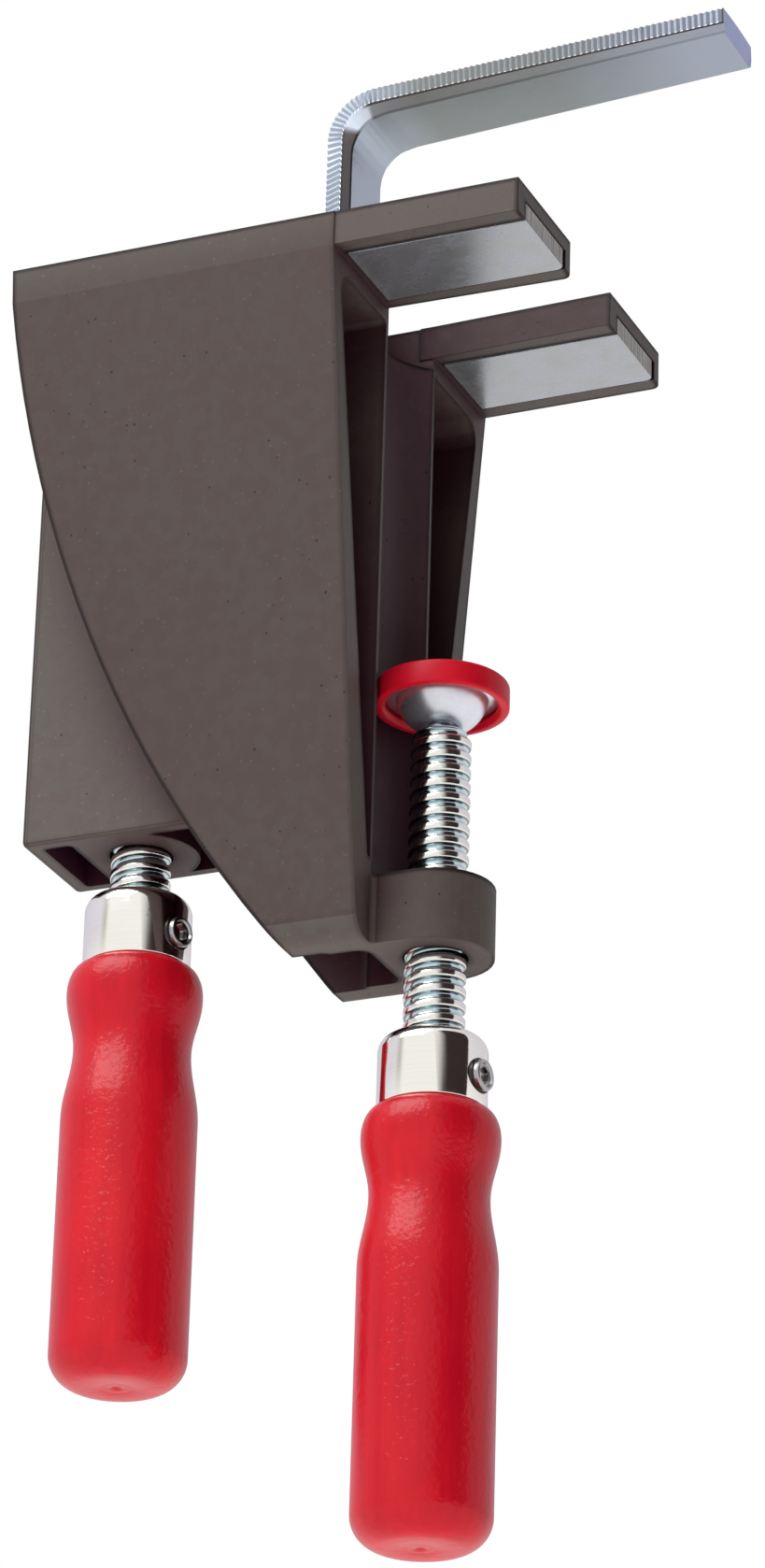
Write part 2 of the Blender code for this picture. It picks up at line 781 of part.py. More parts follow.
def make_ball_stud():
    start = math.asin(ball_neck_radius / ball_radius)
    neck_end_z = ball_center_z - ball_neck_length
    profile = sphere_arc(ball_radius, math.pi, start, corner_steps * 3)
    profile[0] = (0, profile[0][1])
    profile += [(ball_neck_radius, neck_end_z), (0, neck_end_z)]
    turned("ball_stud", profile, (0, 0, 0), clamp_parts, bright_steel("ball_stud_steel"),
           round_steps // 2)


def make_ball_ring():
    profile = sphere_arc(ring_outer_radius, ring_upper_angle, ring_lower_angle)
    profile += sphere_arc(ring_inner_radius, ring_lower_angle, ring_upper_angle)
    turned("ball_ring", profile, (0, 0, 0), clamp_parts, bright_steel("ball_ring_steel"),
           round_steps // 2)


def plate_rim_radius():
    return pad_radius - pad_rim_wall - seat_gap


def make_pad_plate():
    """Domed steel plate that is closed over the ball ring."""
    top = pad_top_z - pad_face_thickness - seat_gap
    cup = sphere_arc(plate_cup_radius, plate_mouth_angle, math.pi / 2)
    mouth_radius, mouth_z = cup[0]
    rim = plate_rim_radius()
    dome_radius = rim - plate_rim_width
    dome_top_z = top - plate_rim_thickness
    dome_low_z = mouth_z - plate_lip_thickness / 2
    lip_radius = mouth_radius + plate_lip_thickness
    dome = arc_between((dome_radius, dome_top_z), (lip_radius, dome_low_z), plate_dome_round)
    profile = [(0, top), (rim, top), (rim, dome_top_z)] + dome + [(mouth_radius, dome_low_z)]
    profile += cup + [(plate_cup_radius, top - plate_thickness), (0, top - plate_thickness)]
    turned("pad_plate", profile, (0, 0, 0), clamp_parts, bright_steel("pad_plate_steel"))


def make_pad_cap():
    """Soft plastic cap, clipped over the plate's rim by a small bead."""
    top, low = pad_top_z, pad_top_z - pad_height
    inner = pad_radius - pad_rim_wall
    roof = top - pad_face_thickness
    bead_z = roof - seat_gap - plate_rim_thickness - seat_gap
    profile = [(0, top), (pad_radius - pad_edge_round, top), (pad_radius, top - pad_edge_round),
               (pad_radius, low), (inner, low), (inner - pad_bead, low + pad_edge_round),
               (inner - pad_bead, bead_z - pad_edge_round), (inner, bead_z), (inner, roof),
               (0, roof)]
    turned("pad_cap", profile, (0, 0, 0), clamp_parts, red_lacquer("pad_plastic"))


def make_ferrule(name, place_x, top, turn):
    """Drawn metal sleeve with a rounded shoulder over the handle's tenon."""
    inside = ferrule_radius - ferrule_wall
    hole = thread_radius + seat_gap
    center = (ferrule_radius - ferrule_shoulder_round, top - ferrule_shoulder_round)
    low = top - ferrule_height
    profile = [(hole, top)]
    profile += arc(center, ferrule_shoulder_round, math.pi / 2, 0, corner_steps)
    profile += [(ferrule_radius, low), (inside, low),
                (inside, top - ferrule_shoulder_round - ferrule_roof)]
    inner_round = ferrule_shoulder_round - ferrule_wall
    profile += arc((inside - inner_round, top - ferrule_roof - inner_round), inner_round, 0,
                   math.pi / 2, corner_steps)
    profile += [(hole, top - ferrule_roof)]
    ferrule = turned(name, profile, (place_x, 0, 0), clamp_parts, bright_steel(f"{name}_nickel"))
    hole_tool = screw_way(f"{name}_screw_hole", set_screw_radius + seat_gap, place_x, top, turn)
    combine(ferrule, hole_tool, "DIFFERENCE")


def screw_way(name, radius, place_x, top, turn, inner=None, outer=None, group=None,
              material=None):
    """Cylinder across the ferrule at the set screw's height and turn."""
    inner = tang_radius if inner is None else inner
    outer = ferrule_radius + cut_overrun if outer is None else outer
    thing = rod(name, radius, inner, outer, (0, 0, 0), "X", group, material)
    thing.location = (place_x, 0, top - set_screw_drop)
    thing.rotation_euler = (0, 0, turn)
    return thing


def make_set_screw(name, place_x, top, turn):
    outer = ferrule_radius + set_screw_proud
    screw = screw_way(name, set_screw_radius, place_x, top, turn, tang_radius + seat_gap, outer,
                      clamp_parts, bright_steel(f"{name}_steel"))
    work = bmesh.new()
    bmesh.ops.create_cone(work, cap_ends=True, segments=6, radius1=hex_socket_radius,
                          radius2=hex_socket_radius, depth=hex_socket_depth * 2)
    bmesh.ops.transform(work, matrix=Matrix.Rotation(math.pi / 2, 4, "Y"), verts=work.verts)
    bmesh.ops.translate(work, vec=(outer, 0, 0), verts=work.verts)
    mesh = bpy.data.meshes.new(f"{name}_socket")
    work.to_mesh(mesh)
    work.free()
    socket = mesh_object(f"{name}_socket", mesh, cutters)
    socket.location = screw.location
    socket.rotation_euler = screw.rotation_euler
    combine(screw, socket, "DIFFERENCE")


def grip_outline(top):
    """Outer line of the handle from its shoulder down to the rounded end."""
    low = top - handle_length
    start = ferrule_radius
    line = []
    for i in range(corner_steps + 1):
        angle = math.pi / 2 * i / corner_steps
        line.append((start + (handle_radius - start) * math.sin(angle),
                     top - handle_shoulder_depth * (1 - math.cos(angle))))
    dip = handle_radius - handle_waist_radius
    for first, last, fall in ((handle_shoulder_depth, handle_waist_depth, 1),
                              (handle_waist_depth, handle_grip_depth, -1)):
        for i in range(1, corner_steps + 1):
            share = i / corner_steps
            ease = (1 - math.cos(math.pi * share)) / 2
            level = ease if fall > 0 else 1 - ease
            line.append((handle_radius - dip * level, top - first - (last - first) * share))
    line += arc((handle_radius - handle_end_round, low + handle_end_round), handle_end_round,
                0, -math.pi / 2, corner_steps)
    return line + [(0, low)]


def make_handle(name, place_x, ferrule_top, turn):
    """Turned wooden grip with a tenon inside the ferrule and a bore for the tang."""
    top = ferrule_top - ferrule_height - seat_gap
    bore = tang_radius + seat_gap
    foot = ferrule_top - ferrule_roof - seat_gap - tang_length - seat_gap
    tenon = ferrule_radius - ferrule_wall - seat_gap
    profile = [(0, foot), (bore, foot), (bore, top + tenon_height), (tenon, top + tenon_height),
               (tenon, top)]
    profile += grip_outline(top)
    handle = turned(name, profile, (place_x, 0, 0), clamp_parts, red_lacquer(f"{name}_lacquer"))
    hole_tool = screw_way(f"{name}_screw_hole", set_screw_radius + seat_gap, place_x,
                          ferrule_top, turn)
    combine(handle, hole_tool, "DIFFERENCE")


def make_grips():
    for side, *place in (("clamp", 0, clamp_ferrule_top_z, clamp_screw_turn),
                         ("lift", lift_axis_x, lift_ferrule_top_z, lift_screw_turn)):
        make_ferrule(f"{side}_ferrule", *place)
        make_set_screw(f"{side}_set_screw", *place)
        make_handle(f"{side}_handle", *place)


make_housing()
make_jaw_inserts()
make_hook_bar()
make_carriage()
make_hook_pins()
make_lift_bearing()
make_lift_spindle()
make_clamp_spindle()
make_ball_stud()
make_ball_ring()
make_pad_plate()
make_pad_cap()
make_grips()
bpy.context.view_layer.update()
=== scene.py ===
# %% [markdown]
# # Window frame clamp, dressed for its portrait
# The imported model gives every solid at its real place, and this file gives them their looks.
# A cast, powder-coated V body carries two fingers with steel inserts. A bent bar with toothed
# edges rises out of the body, and two spindles with nickel ferrules and red lacquered grips
# hang below it. Each cell makes one piece or one finish, with a few words on the real thing.

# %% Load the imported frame
import math

import bmesh
import bpy
from mathutils import Matrix, Vector


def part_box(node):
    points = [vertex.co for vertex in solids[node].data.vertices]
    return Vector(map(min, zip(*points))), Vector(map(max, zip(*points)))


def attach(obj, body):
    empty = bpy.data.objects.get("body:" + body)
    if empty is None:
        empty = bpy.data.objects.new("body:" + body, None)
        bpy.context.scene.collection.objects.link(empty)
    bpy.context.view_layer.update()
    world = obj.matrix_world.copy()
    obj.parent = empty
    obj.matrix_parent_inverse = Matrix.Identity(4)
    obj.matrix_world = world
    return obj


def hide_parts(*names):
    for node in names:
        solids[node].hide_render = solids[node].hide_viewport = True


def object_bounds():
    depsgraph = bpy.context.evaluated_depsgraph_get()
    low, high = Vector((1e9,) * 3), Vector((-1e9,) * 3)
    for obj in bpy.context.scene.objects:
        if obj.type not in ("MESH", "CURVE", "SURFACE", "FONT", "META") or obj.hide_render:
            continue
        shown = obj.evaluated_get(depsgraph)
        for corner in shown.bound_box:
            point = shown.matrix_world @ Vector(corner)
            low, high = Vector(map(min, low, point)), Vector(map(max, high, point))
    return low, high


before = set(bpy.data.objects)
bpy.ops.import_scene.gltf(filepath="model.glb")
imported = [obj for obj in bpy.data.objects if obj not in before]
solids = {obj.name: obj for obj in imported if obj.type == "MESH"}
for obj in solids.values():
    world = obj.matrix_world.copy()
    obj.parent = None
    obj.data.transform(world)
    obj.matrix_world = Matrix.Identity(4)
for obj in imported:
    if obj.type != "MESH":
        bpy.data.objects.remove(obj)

mm = 0.001
solid_low, solid_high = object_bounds()
print("solids:", len(solids), "box in mm:",
      [round((high - low) / mm, 1) for low, high in zip(solid_low, solid_high)])

# %% [markdown]
# ## Camera
# The photograph looks up at the clamp from the front right, from well below it, through a
# long lens. The direction was solved from the straight edges of the body and the fingers.
# A camera is turned most plainly by giving it its three axes, so the columns of the matrix
# are the picture's right, the picture's up and the way back to the photographer.

# %% Place the camera
camera_azimuth = math.radians(23.788)
camera_elevation = math.radians(-24)
camera_roll = math.radians(1.69)
camera_place = (0.404504, -0.944720, -0.556442)
sensor_height = 36
focal_length = 135.76


def direction(azimuth, elevation):
    """Unit vector that looks out at an azimuth from the front and at an elevation."""
    return Vector((math.sin(azimuth) * math.cos(elevation),
                   -math.cos(azimuth) * math.cos(elevation), math.sin(elevation)))


def camera_axes(azimuth, elevation, roll):
    back = direction(azimuth, elevation)
    level = Vector((math.cos(azimuth), math.sin(azimuth), 0))
    upright = back.cross(level)
    right = math.cos(roll) * level + math.sin(roll) * upright
    return right, upright * math.cos(roll) - level * math.sin(roll), back


right, up, back = camera_axes(camera_azimuth, camera_elevation, camera_roll)
camera = bpy.data.objects.new("portrait camera", bpy.data.cameras.new("portrait camera"))
bpy.context.scene.collection.objects.link(camera)
camera.matrix_world = (Matrix.Translation(camera_place)
                       @ Matrix((right, up, back)).transposed().to_4x4())
camera.data.sensor_fit = "VERTICAL"
camera.data.sensor_height = sensor_height
camera.data.lens = focal_length
camera.data.clip_start = 0.01
camera.data.clip_end = 20
bpy.context.scene.camera = camera
print("camera", round(camera.location.length, 3), "m from the clamping axis")

# %% [markdown]
# ## Nodes in one line
# Every finish below is a tree of shader nodes. Making a node, setting its fields and plugging
# its sockets takes many lines in plain Blender calls, so one helper does all three: a value
# that is itself a socket is linked, and any other value is set on the socket. The short
# helpers after it build what the finishes use most: a ramp, a mix, a sum, a group, a place.

# %% Helpers for shader nodes


def feed(tree, socket, value):
    """Links a socket to another one, or sets it. Three numbers set a colour."""
    if isinstance(value, bpy.types.NodeSocket):
        tree.links.new(value, socket)
    elif isinstance(value, tuple) and socket.type == "RGBA":
        socket.default_value = (*value, 1)
    else:
        socket.default_value = value


def node(tree, kind, plugs=None, **fields):
    made = tree.nodes.new("ShaderNode" + kind)
    for field, value in fields.items():
        setattr(made, field, value)
    for name, value in (plugs or {}).items():
        feed(tree, made.inputs[name], value)
    return made


def ramp(tree, value, *stops):
    """Color ramp whose stops are pairs of place and grey level or colour."""
    made = node(tree, "ValToRGB", {"Fac": value})
    points = made.color_ramp.elements
    while len(points) < len(stops):
        points.new(0.5)
    for point, (place, color) in zip(points, stops):
        point.position = place
        point.color = (*color, 1) if isinstance(color, tuple) else (color, color, color, 1)
    return made.outputs["Color"]


def blend(tree, amount, first, second, way="MIX"):
    """Mix of two colours. The Mix node's sockets 6 and 7 and its output 2 are the colours'."""
    made = node(tree, "Mix", data_type="RGBA", blend_type=way)
    for place, value in ((0, amount), (6, first), (7, second)):
        feed(tree, made.inputs[place], value)
    return made.outputs[2]


def number(tree, way, first, second=0.0, third=0.0):
    made = node(tree, "Math", operation=way)
    for socket, value in zip(made.inputs, (first, second, third)):
        feed(tree, socket, value)
    return made.outputs[0]


def object_place(tree):
    """Each point's place in the object's own frame, in metres."""
    return node(tree, "TexCoord").outputs["Object"]


def face_mark(tree, name):
    """The number that the mesh carries on its faces under this name."""
    return node(tree, "Attribute", attribute_name=name).outputs["Fac"]


def new_group(name, inputs, outputs):
    """Empty shader group with named inputs and outputs, each a pair of name and kind."""
    group = bpy.data.node_groups.new(name, "ShaderNodeTree")
    for way, sockets in (("INPUT", inputs), ("OUTPUT", outputs)):
        for label, kind in sockets:
            group.interface.new_socket(label, in_out=way, socket_type="NodeSocket" + kind)
    return group, group.nodes.new("NodeGroupInput"), group.nodes.new("NodeGroupOutput")


def use_group(tree, group, **values):
    made = tree.nodes.new("ShaderNodeGroup")
    made.node_tree = group
    for name, value in values.items():
        feed(tree, made.inputs[name.replace("_", " ")], value)
    return made.outputs


def new_finish(name):
    """Material with its shader and its tree."""
    finish = bpy.data.materials.new(name)
    finish.use_nodes = True
    return finish, finish.node_tree, finish.node_tree.nodes["Principled BSDF"]


def plug(tree, shader, **values):
    """Sets or links the shader's sockets, named with underscores for spaces."""
    for name, value in values.items():
        feed(tree, shader.inputs[name.replace("_", " ")], value)


# %% [markdown]
# ## Effects that several finishes share
# Fine specks are what tells a powder coat or a cast skin from plastic: tiny dark and light
# dots, each a fraction of a millimetre. A Voronoi pattern gives one dot per cell, and the
# distance to the cell's centre cuts the dot out. Blotches are slow changes of tone over
# centimetres, from handling and from uneven plating. Drawn lines run along a bar or round a
# turned piece: a noise that is stretched a hundredfold along one axis. All three read Object
# coordinates in metres, so their scales are counted per metre.

# %% Group: specks


def make_speck_group():
    group, into, out = new_group(
        "fine specks",
        [("Scale", "Float"), ("Size", "Float"), ("Dark share", "Float"), ("Light share", "Float")],
        [("Dark", "Float"), ("Light", "Float")])
    place = object_place(group)
    for label, shift in (("Dark", 0.0), ("Light", 0.37)):
        moved = node(group, "Mapping", {"Vector": place, "Location": (shift, shift, shift)})
        cells = node(group, "TexVoronoi", {"Vector": moved.outputs[0], "Scale": into.outputs["Scale"]})
        pick = node(group, "SeparateColor", {"Color": cells.outputs["Color"]})
        reach = number(group, "MULTIPLY", into.outputs["Size"],
                       number(group, "MULTIPLY_ADD", pick.outputs[1], 0.7, 0.65))
        near = node(group, "MapRange", {"Value": cells.outputs["Distance"], "From Min": reach,
                                        "From Max": number(group, "MULTIPLY", reach, 0.6)})
        some = number(group, "LESS_THAN", pick.outputs[0], into.outputs[f"{label} share"])
        group.links.new(number(group, "MULTIPLY", near.outputs[0], some), out.inputs[label])
    return group


specks = make_speck_group()
print("group:", specks.name)

# %% Group: blotches


def make_blotch_group():
    group, into, out = new_group(
        "slow blotches", [("Scale", "Float"), ("Contrast", "Float")], [("Value", "Float")])
    place = object_place(group)
    cloud = node(group, "TexNoise", {"Vector": place, "Scale": into.outputs["Scale"], "Detail": 4.0,
                                     "Roughness": 0.55})
    centred = number(group, "SUBTRACT", cloud.outputs["Fac"], 0.5)
    group.links.new(number(group, "MULTIPLY_ADD", centred, into.outputs["Contrast"], 0.5),
                    out.inputs["Value"])
    return group


blotches = make_blotch_group()
print("group:", blotches.name)

# %% Group: drawn lines


def make_line_group():
    group, into, out = new_group(
        "drawn lines", [("Stretch", "Vector"), ("Detail", "Float")], [("Value", "Float")])
    place = object_place(group)
    pulled = node(group, "Mapping", {"Vector": place, "Scale": into.outputs["Stretch"]})
    lines = node(group, "TexNoise", {"Vector": pulled.outputs[0], "Scale": 1.0,
                                     "Detail": into.outputs["Detail"], "Roughness": 0.6})
    group.links.new(lines.outputs["Fac"], out.inputs["Value"])
    return group


drawn_lines = make_line_group()
print("group:", drawn_lines.name)

# %% [markdown]
# ## Finish of the casting
# The body is sand-cast aluminium with a dark taupe powder coat. It is matt with a slight
# sheen, and all over it are specks a few tenths of a millimetre wide, some darker and some
# lighter than the coat. A fine bump gives the coat its orange-peel skin.
#
# Painted shade darkens its corners and pockets, where Ambient Occlusion finds them, and dark
# lines of painted shade run along its edges. A Bevel node bends the normal near an edge, so
# where the bent normal leans over more than the face's own does, the edge is near. The mesh
# adds three marks of its own, written face by face in the casting's cell: flank and inside
# are painted shade on the outer flanks, the nose boss, the fingers' near sides and the open
# channel, and edge_shade blackens the small rounded faces along the edges as painted shade.

# %% Make the casting's finish


# painted shade: the flank and inside tints darken faces according to how the light falls on them
flank_shade_tint, inside_shade_tint = (0.72, 0.62, 0.64), (0.62, 0.40, 0.54)
# painted shade along the edges: its colour and its width
edge_shade_color = (0.008, 0.004, 0.004)
edge_shade_width = 1.7 * mm
# painted shade in corners and pockets: how far Ambient Occlusion looks
painted_shade_reach = 26 * mm


def make_casting_finish(name, tone):
    finish, tree, shader = new_finish(name)
    slow = use_group(tree, blotches, Scale=24.0, Contrast=1.0)["Value"]
    patchy = use_group(tree, blotches, Scale=330.0, Contrast=2.2)["Value"]
    greenish = tuple(level * share for level, share in zip(tone, (1.05, 1.12, 1.06)))
    purplish = tuple(level * share for level, share in zip(tone, (0.96, 0.87, 0.93)))
    coat = ramp(tree, patchy, (0.3, purplish), (0.7, greenish))
    coat = blend(tree, 0.45, coat, ramp(tree, slow, (0.3, purplish), (0.7, greenish)))
    dots = use_group(tree, specks, Scale=640.0, Size=0.16, Dark_share=0.11, Light_share=0.5)
    coat = blend(tree, number(tree, "MULTIPLY", dots["Light"], 0.5), coat,
                 tuple(level * 1.75 for level in tone))
    coat = blend(tree, number(tree, "MULTIPLY", dots["Dark"], 0.85), coat,
                 tuple(level * 0.12 for level in tone))
    # painted shade on the faces that carry the flank and inside marks
    coat = blend(tree, face_mark(tree, "flank"), coat, flank_shade_tint, "MULTIPLY")
    coat = blend(tree, face_mark(tree, "inside"), coat, inside_shade_tint, "MULTIPLY")
    # painted shade: Ambient Occlusion darkens the coat towards purple-black in corners and pockets
    open_air = node(tree, "AmbientOcclusion", {"Distance": painted_shade_reach}, samples=8).outputs["AO"]
    painted_shade = ramp(tree, open_air, (0.12, (0.36, 0.06, 0.24)), (0.5, (0.44, 0.20, 0.28)),
                 (0.76, (0.84, 0.76, 0.79)), (0.95, (1.0, 1.0, 1.0)))
    coat = blend(tree, 1.0, coat, painted_shade, "MULTIPLY")
    # painted shade: dark lines along the edges, from the edge mark and from the Bevel node's bent normal
    shaded_edge = face_mark(tree, "edge_shade")
    place = object_place(tree)
    outwards = node(tree, "SeparateXYZ", {"Vector": place}).outputs["X"]
    finger_end = number(tree, "MULTIPLY_ADD", number(tree, "GREATER_THAN", outwards, 24 * mm), 0.6, 0.4)
    round_look = node(tree, "Bevel", {"Radius": edge_shade_width}, samples=8).outputs["Normal"]
    round_look = node(tree, "SeparateXYZ", {"Vector": round_look}).outputs
    flat_look = node(tree, "SeparateXYZ", {"Vector": node(tree, "NewGeometry").outputs["True Normal"]})
    for side, way, share in (("Z", 1, 1.0), ("Y", 1, 1.0), ("X", -1, 1.0), ("X", 1, finger_end)):
        own = number(tree, "ABSOLUTE", flat_look.outputs[side])
        lean = number(tree, "SUBTRACT", number(tree, "MULTIPLY", round_look[side], way), own)
        near = node(tree, "MapRange", {"Value": lean, "From Min": 0.08, "From Max": 0.15}).outputs[0]
        shaded_edge = number(tree, "MAXIMUM", shaded_edge, number(tree, "MULTIPLY", near, share))
    coat = blend(tree, number(tree, "MULTIPLY", shaded_edge, 0.96), coat, edge_shade_color)
    peel = node(tree, "TexNoise", {"Scale": 1500.0, "Detail": 3.0, "Vector": place})
    bump = node(tree, "Bump", {"Height": peel.outputs["Fac"], "Strength": 0.25, "Distance": 0.08 * mm})
    sheen = number(tree, "MULTIPLY_ADD", patchy, 0.14, 0.47)
    plug(tree, shader, Base_Color=coat, Roughness=sheen, Normal=bump.outputs[0],
         Specular_IOR_Level=0.22)
    return finish


casting_finish = make_casting_finish("taupe powder coat", (0.128, 0.112, 0.101))
carriage_finish = make_casting_finish("carriage casting", (0.10, 0.088, 0.078))
print("finish:", casting_finish.name)

# %% [markdown]
# ## Finishes of the plated steel
# The pad's plate is pressed steel, the ferrules are polished nickel, and the small screws are
# dark steel. All are one recipe with other numbers: a metallic base whose colour drifts
# between two tones, and a roughness broken by drawn lines and handling marks. The recipe
# also gives its tree back, so that a finish can add to it. The screws carry a mark of painted
# shade, which darkens the gap round them and the floor of their socket.

# %% Make the plated finishes


def make_plated_finish(name, cool, warm, roughness, stretch, bump_height=0.01 * mm, line_share=0.3,
                       clouds=60.0):
    finish, tree, shader = new_finish(name)
    cloud = use_group(tree, blotches, Scale=clouds, Contrast=1.6)["Value"]
    lines = use_group(tree, drawn_lines, Stretch=stretch, Detail=3.0)["Value"]
    color = ramp(tree, cloud, (0.25, cool), (0.75, warm))
    shade = ramp(tree, lines, (0.35, 0.78), (0.65, 1.0))
    color = blend(tree, line_share, color, shade, "MULTIPLY")
    pits = use_group(tree, specks, Scale=300.0, Size=0.08, Dark_share=0.2)
    color = blend(tree, number(tree, "MULTIPLY", pits["Dark"], 0.4), color, (0.12, 0.11, 0.10))
    rough = number(tree, "MULTIPLY_ADD", lines, 0.16, roughness - 0.08)
    rough = number(tree, "MULTIPLY_ADD", cloud, 0.12, number(tree, "SUBTRACT", rough, 0.06))
    bump = node(tree, "Bump", {"Height": lines, "Strength": 0.4, "Distance": bump_height})
    plug(tree, shader, Base_Color=color, Roughness=rough, Metallic=1.0, Normal=bump.outputs[0])
    return finish, tree, shader, color


steel_finish, tree, shader, color = make_plated_finish(
    "pressed steel", (0.68, 0.69, 0.74), (0.82, 0.82, 0.88), 0.32, (900, 900, 900))
plug(tree, shader, Metallic=0.88)
nickel_finish = make_plated_finish("polished nickel", (0.88, 0.86, 0.80), (0.93, 0.91, 0.85), 0.1,
                                   (30, 30, 3000), 0.004 * mm, 0.15)[0]
screw_finish, tree, shader, color = make_plated_finish(
    "screw steel", (0.34, 0.33, 0.33), (0.50, 0.50, 0.50), 0.24, (900, 900, 900))
# painted shade in the gap round the screw and on the socket's floor
plug(tree, shader, Base_Color=blend(tree, face_mark(tree, "painted_dark"), color, (0.035, 0.025, 0.025)))
print("plated finishes:", 3)

# %% [markdown]
# The hook's zinc drifts from a pale blue-grey on the leg over a plain grey to lavender at
# the tip, and these tones are a painted reflection of the room. Its chamfers and the roots of
# its teeth carry painted shade and a painted dark reflection. Which face is how dark is
# written into the mesh as an attribute while the bar is modelled, and the finish only reads it.

# %% Make the hook's zinc


def make_hook_finish():
    finish, tree, shader, color = make_plated_finish(
        "satin zinc", (0.27, 0.30, 0.29), (0.36, 0.38, 0.40), 0.36, (300, 2400, 300), 0.01 * mm, 0.25)
    coords = node(tree, "TexCoord")
    place = node(tree, "SeparateXYZ", {"Vector": coords.outputs["Object"]})
    outwards = node(tree, "MapRange", {"Value": place.outputs["X"], "From Min": -25 * mm,
                                       "From Max": 60 * mm}).outputs[0]
    # painted reflection: the tone changes along the bar, from pale blue-grey on the leg to lavender at
    # the tip
    reflection_drift = ramp(tree, outwards, (0.08, (0.47, 0.53, 0.62)), (0.24, (0.29, 0.31, 0.305)),
                 (0.55, (0.28, 0.30, 0.305)), (0.9, (0.39, 0.43, 0.53)))
    color = blend(tree, 0.75, color, reflection_drift)
    facing = node(tree, "SeparateXYZ", {"Vector": coords.outputs["Normal"]})
    # painted reflection: the end face at the tip is painted lavender
    tip = number(tree, "MULTIPLY", number(tree, "GREATER_THAN", facing.outputs["X"], 0.85),
                 number(tree, "GREATER_THAN", outwards, 0.97))
    color = blend(tree, tip, color, (0.345, 0.40, 0.60))
    # painted shade and painted dark reflection, read from the mesh's mark
    painted_dark = face_mark(tree, "painted_dark")
    color = blend(tree, painted_dark, color, (0.05, 0.034, 0.030))
    plug(tree, shader, Base_Color=color, Metallic=number(tree, "SUBTRACT", 1.0, painted_dark),
         Specular_IOR_Level=0.3)
    return finish


hook_finish = make_hook_finish()
print("finish:", hook_finish.name)

# %% [markdown]
# The jaw inserts are galvanised: their faces are mottled from grey-green to lavender, and
# their sawn ends are a warm grey with upright ridges. The end is found by the direction that
# the face looks in, which Texture Coordinate gives as Normal.

# %% Make the inserts' finish


def make_insert_finish():
    finish, tree, shader, color = make_plated_finish(
        "galvanised steel", (0.41, 0.43, 0.42), (0.45, 0.46, 0.51), 0.26, (500, 900, 500),
        0.006 * mm, 0.12, 170.0)
    coords = node(tree, "TexCoord")
    facing = node(tree, "SeparateXYZ", {"Vector": coords.outputs["Normal"]})
    sawn = number(tree, "GREATER_THAN", facing.outputs["X"], 0.7)
    pulled = node(tree, "Mapping", {"Vector": coords.outputs["Object"], "Scale": (1, 1400, 90)})
    ridges = node(tree, "TexNoise", {"Vector": pulled.outputs[0], "Scale": 1.0, "Detail": 1.0})
    beige = ramp(tree, ridges.outputs["Fac"], (0.36, (0.12, 0.11, 0.07)), (0.5, (0.21, 0.20, 0.165)),
                 (0.62, (0.30, 0.30, 0.29)))
    plug(tree, shader, Base_Color=blend(tree, sawn, color, beige), Metallic=0.72)
    return finish


insert_finish = make_insert_finish()
print("finish:", insert_finish.name)

# %% [markdown]
# The spindles are bright zinc, and the light on their turns is painted by depth. How deep a
# point lies is its distance from the spindle's own axis, so each spindle gets a finish that is
# centred on its axis: a painted highlight of cream white on the crests, painted shade nearly
# black just below them, and from there down a painted reflection of blue-grey that grows paler
# towards the roots.

# %% Make the spindles' zinc


def make_thread_finish(name, axis_x):
    finish, tree, shader, color = make_plated_finish(
        name, (0.76, 0.76, 0.72), (0.84, 0.83, 0.79), 0.13, (40, 40, 2600), 0.01 * mm, 0.25)
    centred = node(tree, "Mapping", {"Vector": object_place(tree), "Location": (-axis_x, 0, 0),
                                     "Scale": (1, 1, 0)})
    reach = node(tree, "VectorMath", {0: centred.outputs[0]}, operation="LENGTH").outputs["Value"]
    depth = node(tree, "MapRange", {"Value": reach, "From Min": 5.82 * mm,
                                    "From Max": 5.0 * mm}).outputs[0]
    # painted highlight on the crests, painted shade below them and painted reflection towards the roots
    groove = ramp(tree, depth, (0.05, (0.82, 0.81, 0.77)), (0.2, (0.05, 0.05, 0.055)),
                  (0.42, (0.12, 0.16, 0.18)), (0.7, (0.42, 0.56, 0.61)), (1.0, (0.5, 0.64, 0.68)))
    plug(tree, shader, Base_Color=blend(tree, 0.85, color, groove))
    return finish


lift_x = -62.5 * mm
clamp_thread_finish = make_thread_finish("clamp spindle zinc", 0.0)
lift_thread_finish = make_thread_finish("lift spindle zinc", lift_x)
print("finishes:", clamp_thread_finish.name, "and", lift_thread_finish.name)

# %% [markdown]
# ## Finishes of the red pieces
# The grips are turned beech under a thick coat of red lacquer: the grain shows only as faint
# streaks along the grip, and the lacquer's own clear coat gives the highlights, which
# shallow dimples break up. The pad's cap is soft red plastic with a duller, even skin.

# %% Make the grip lacquer and the pad's plastic


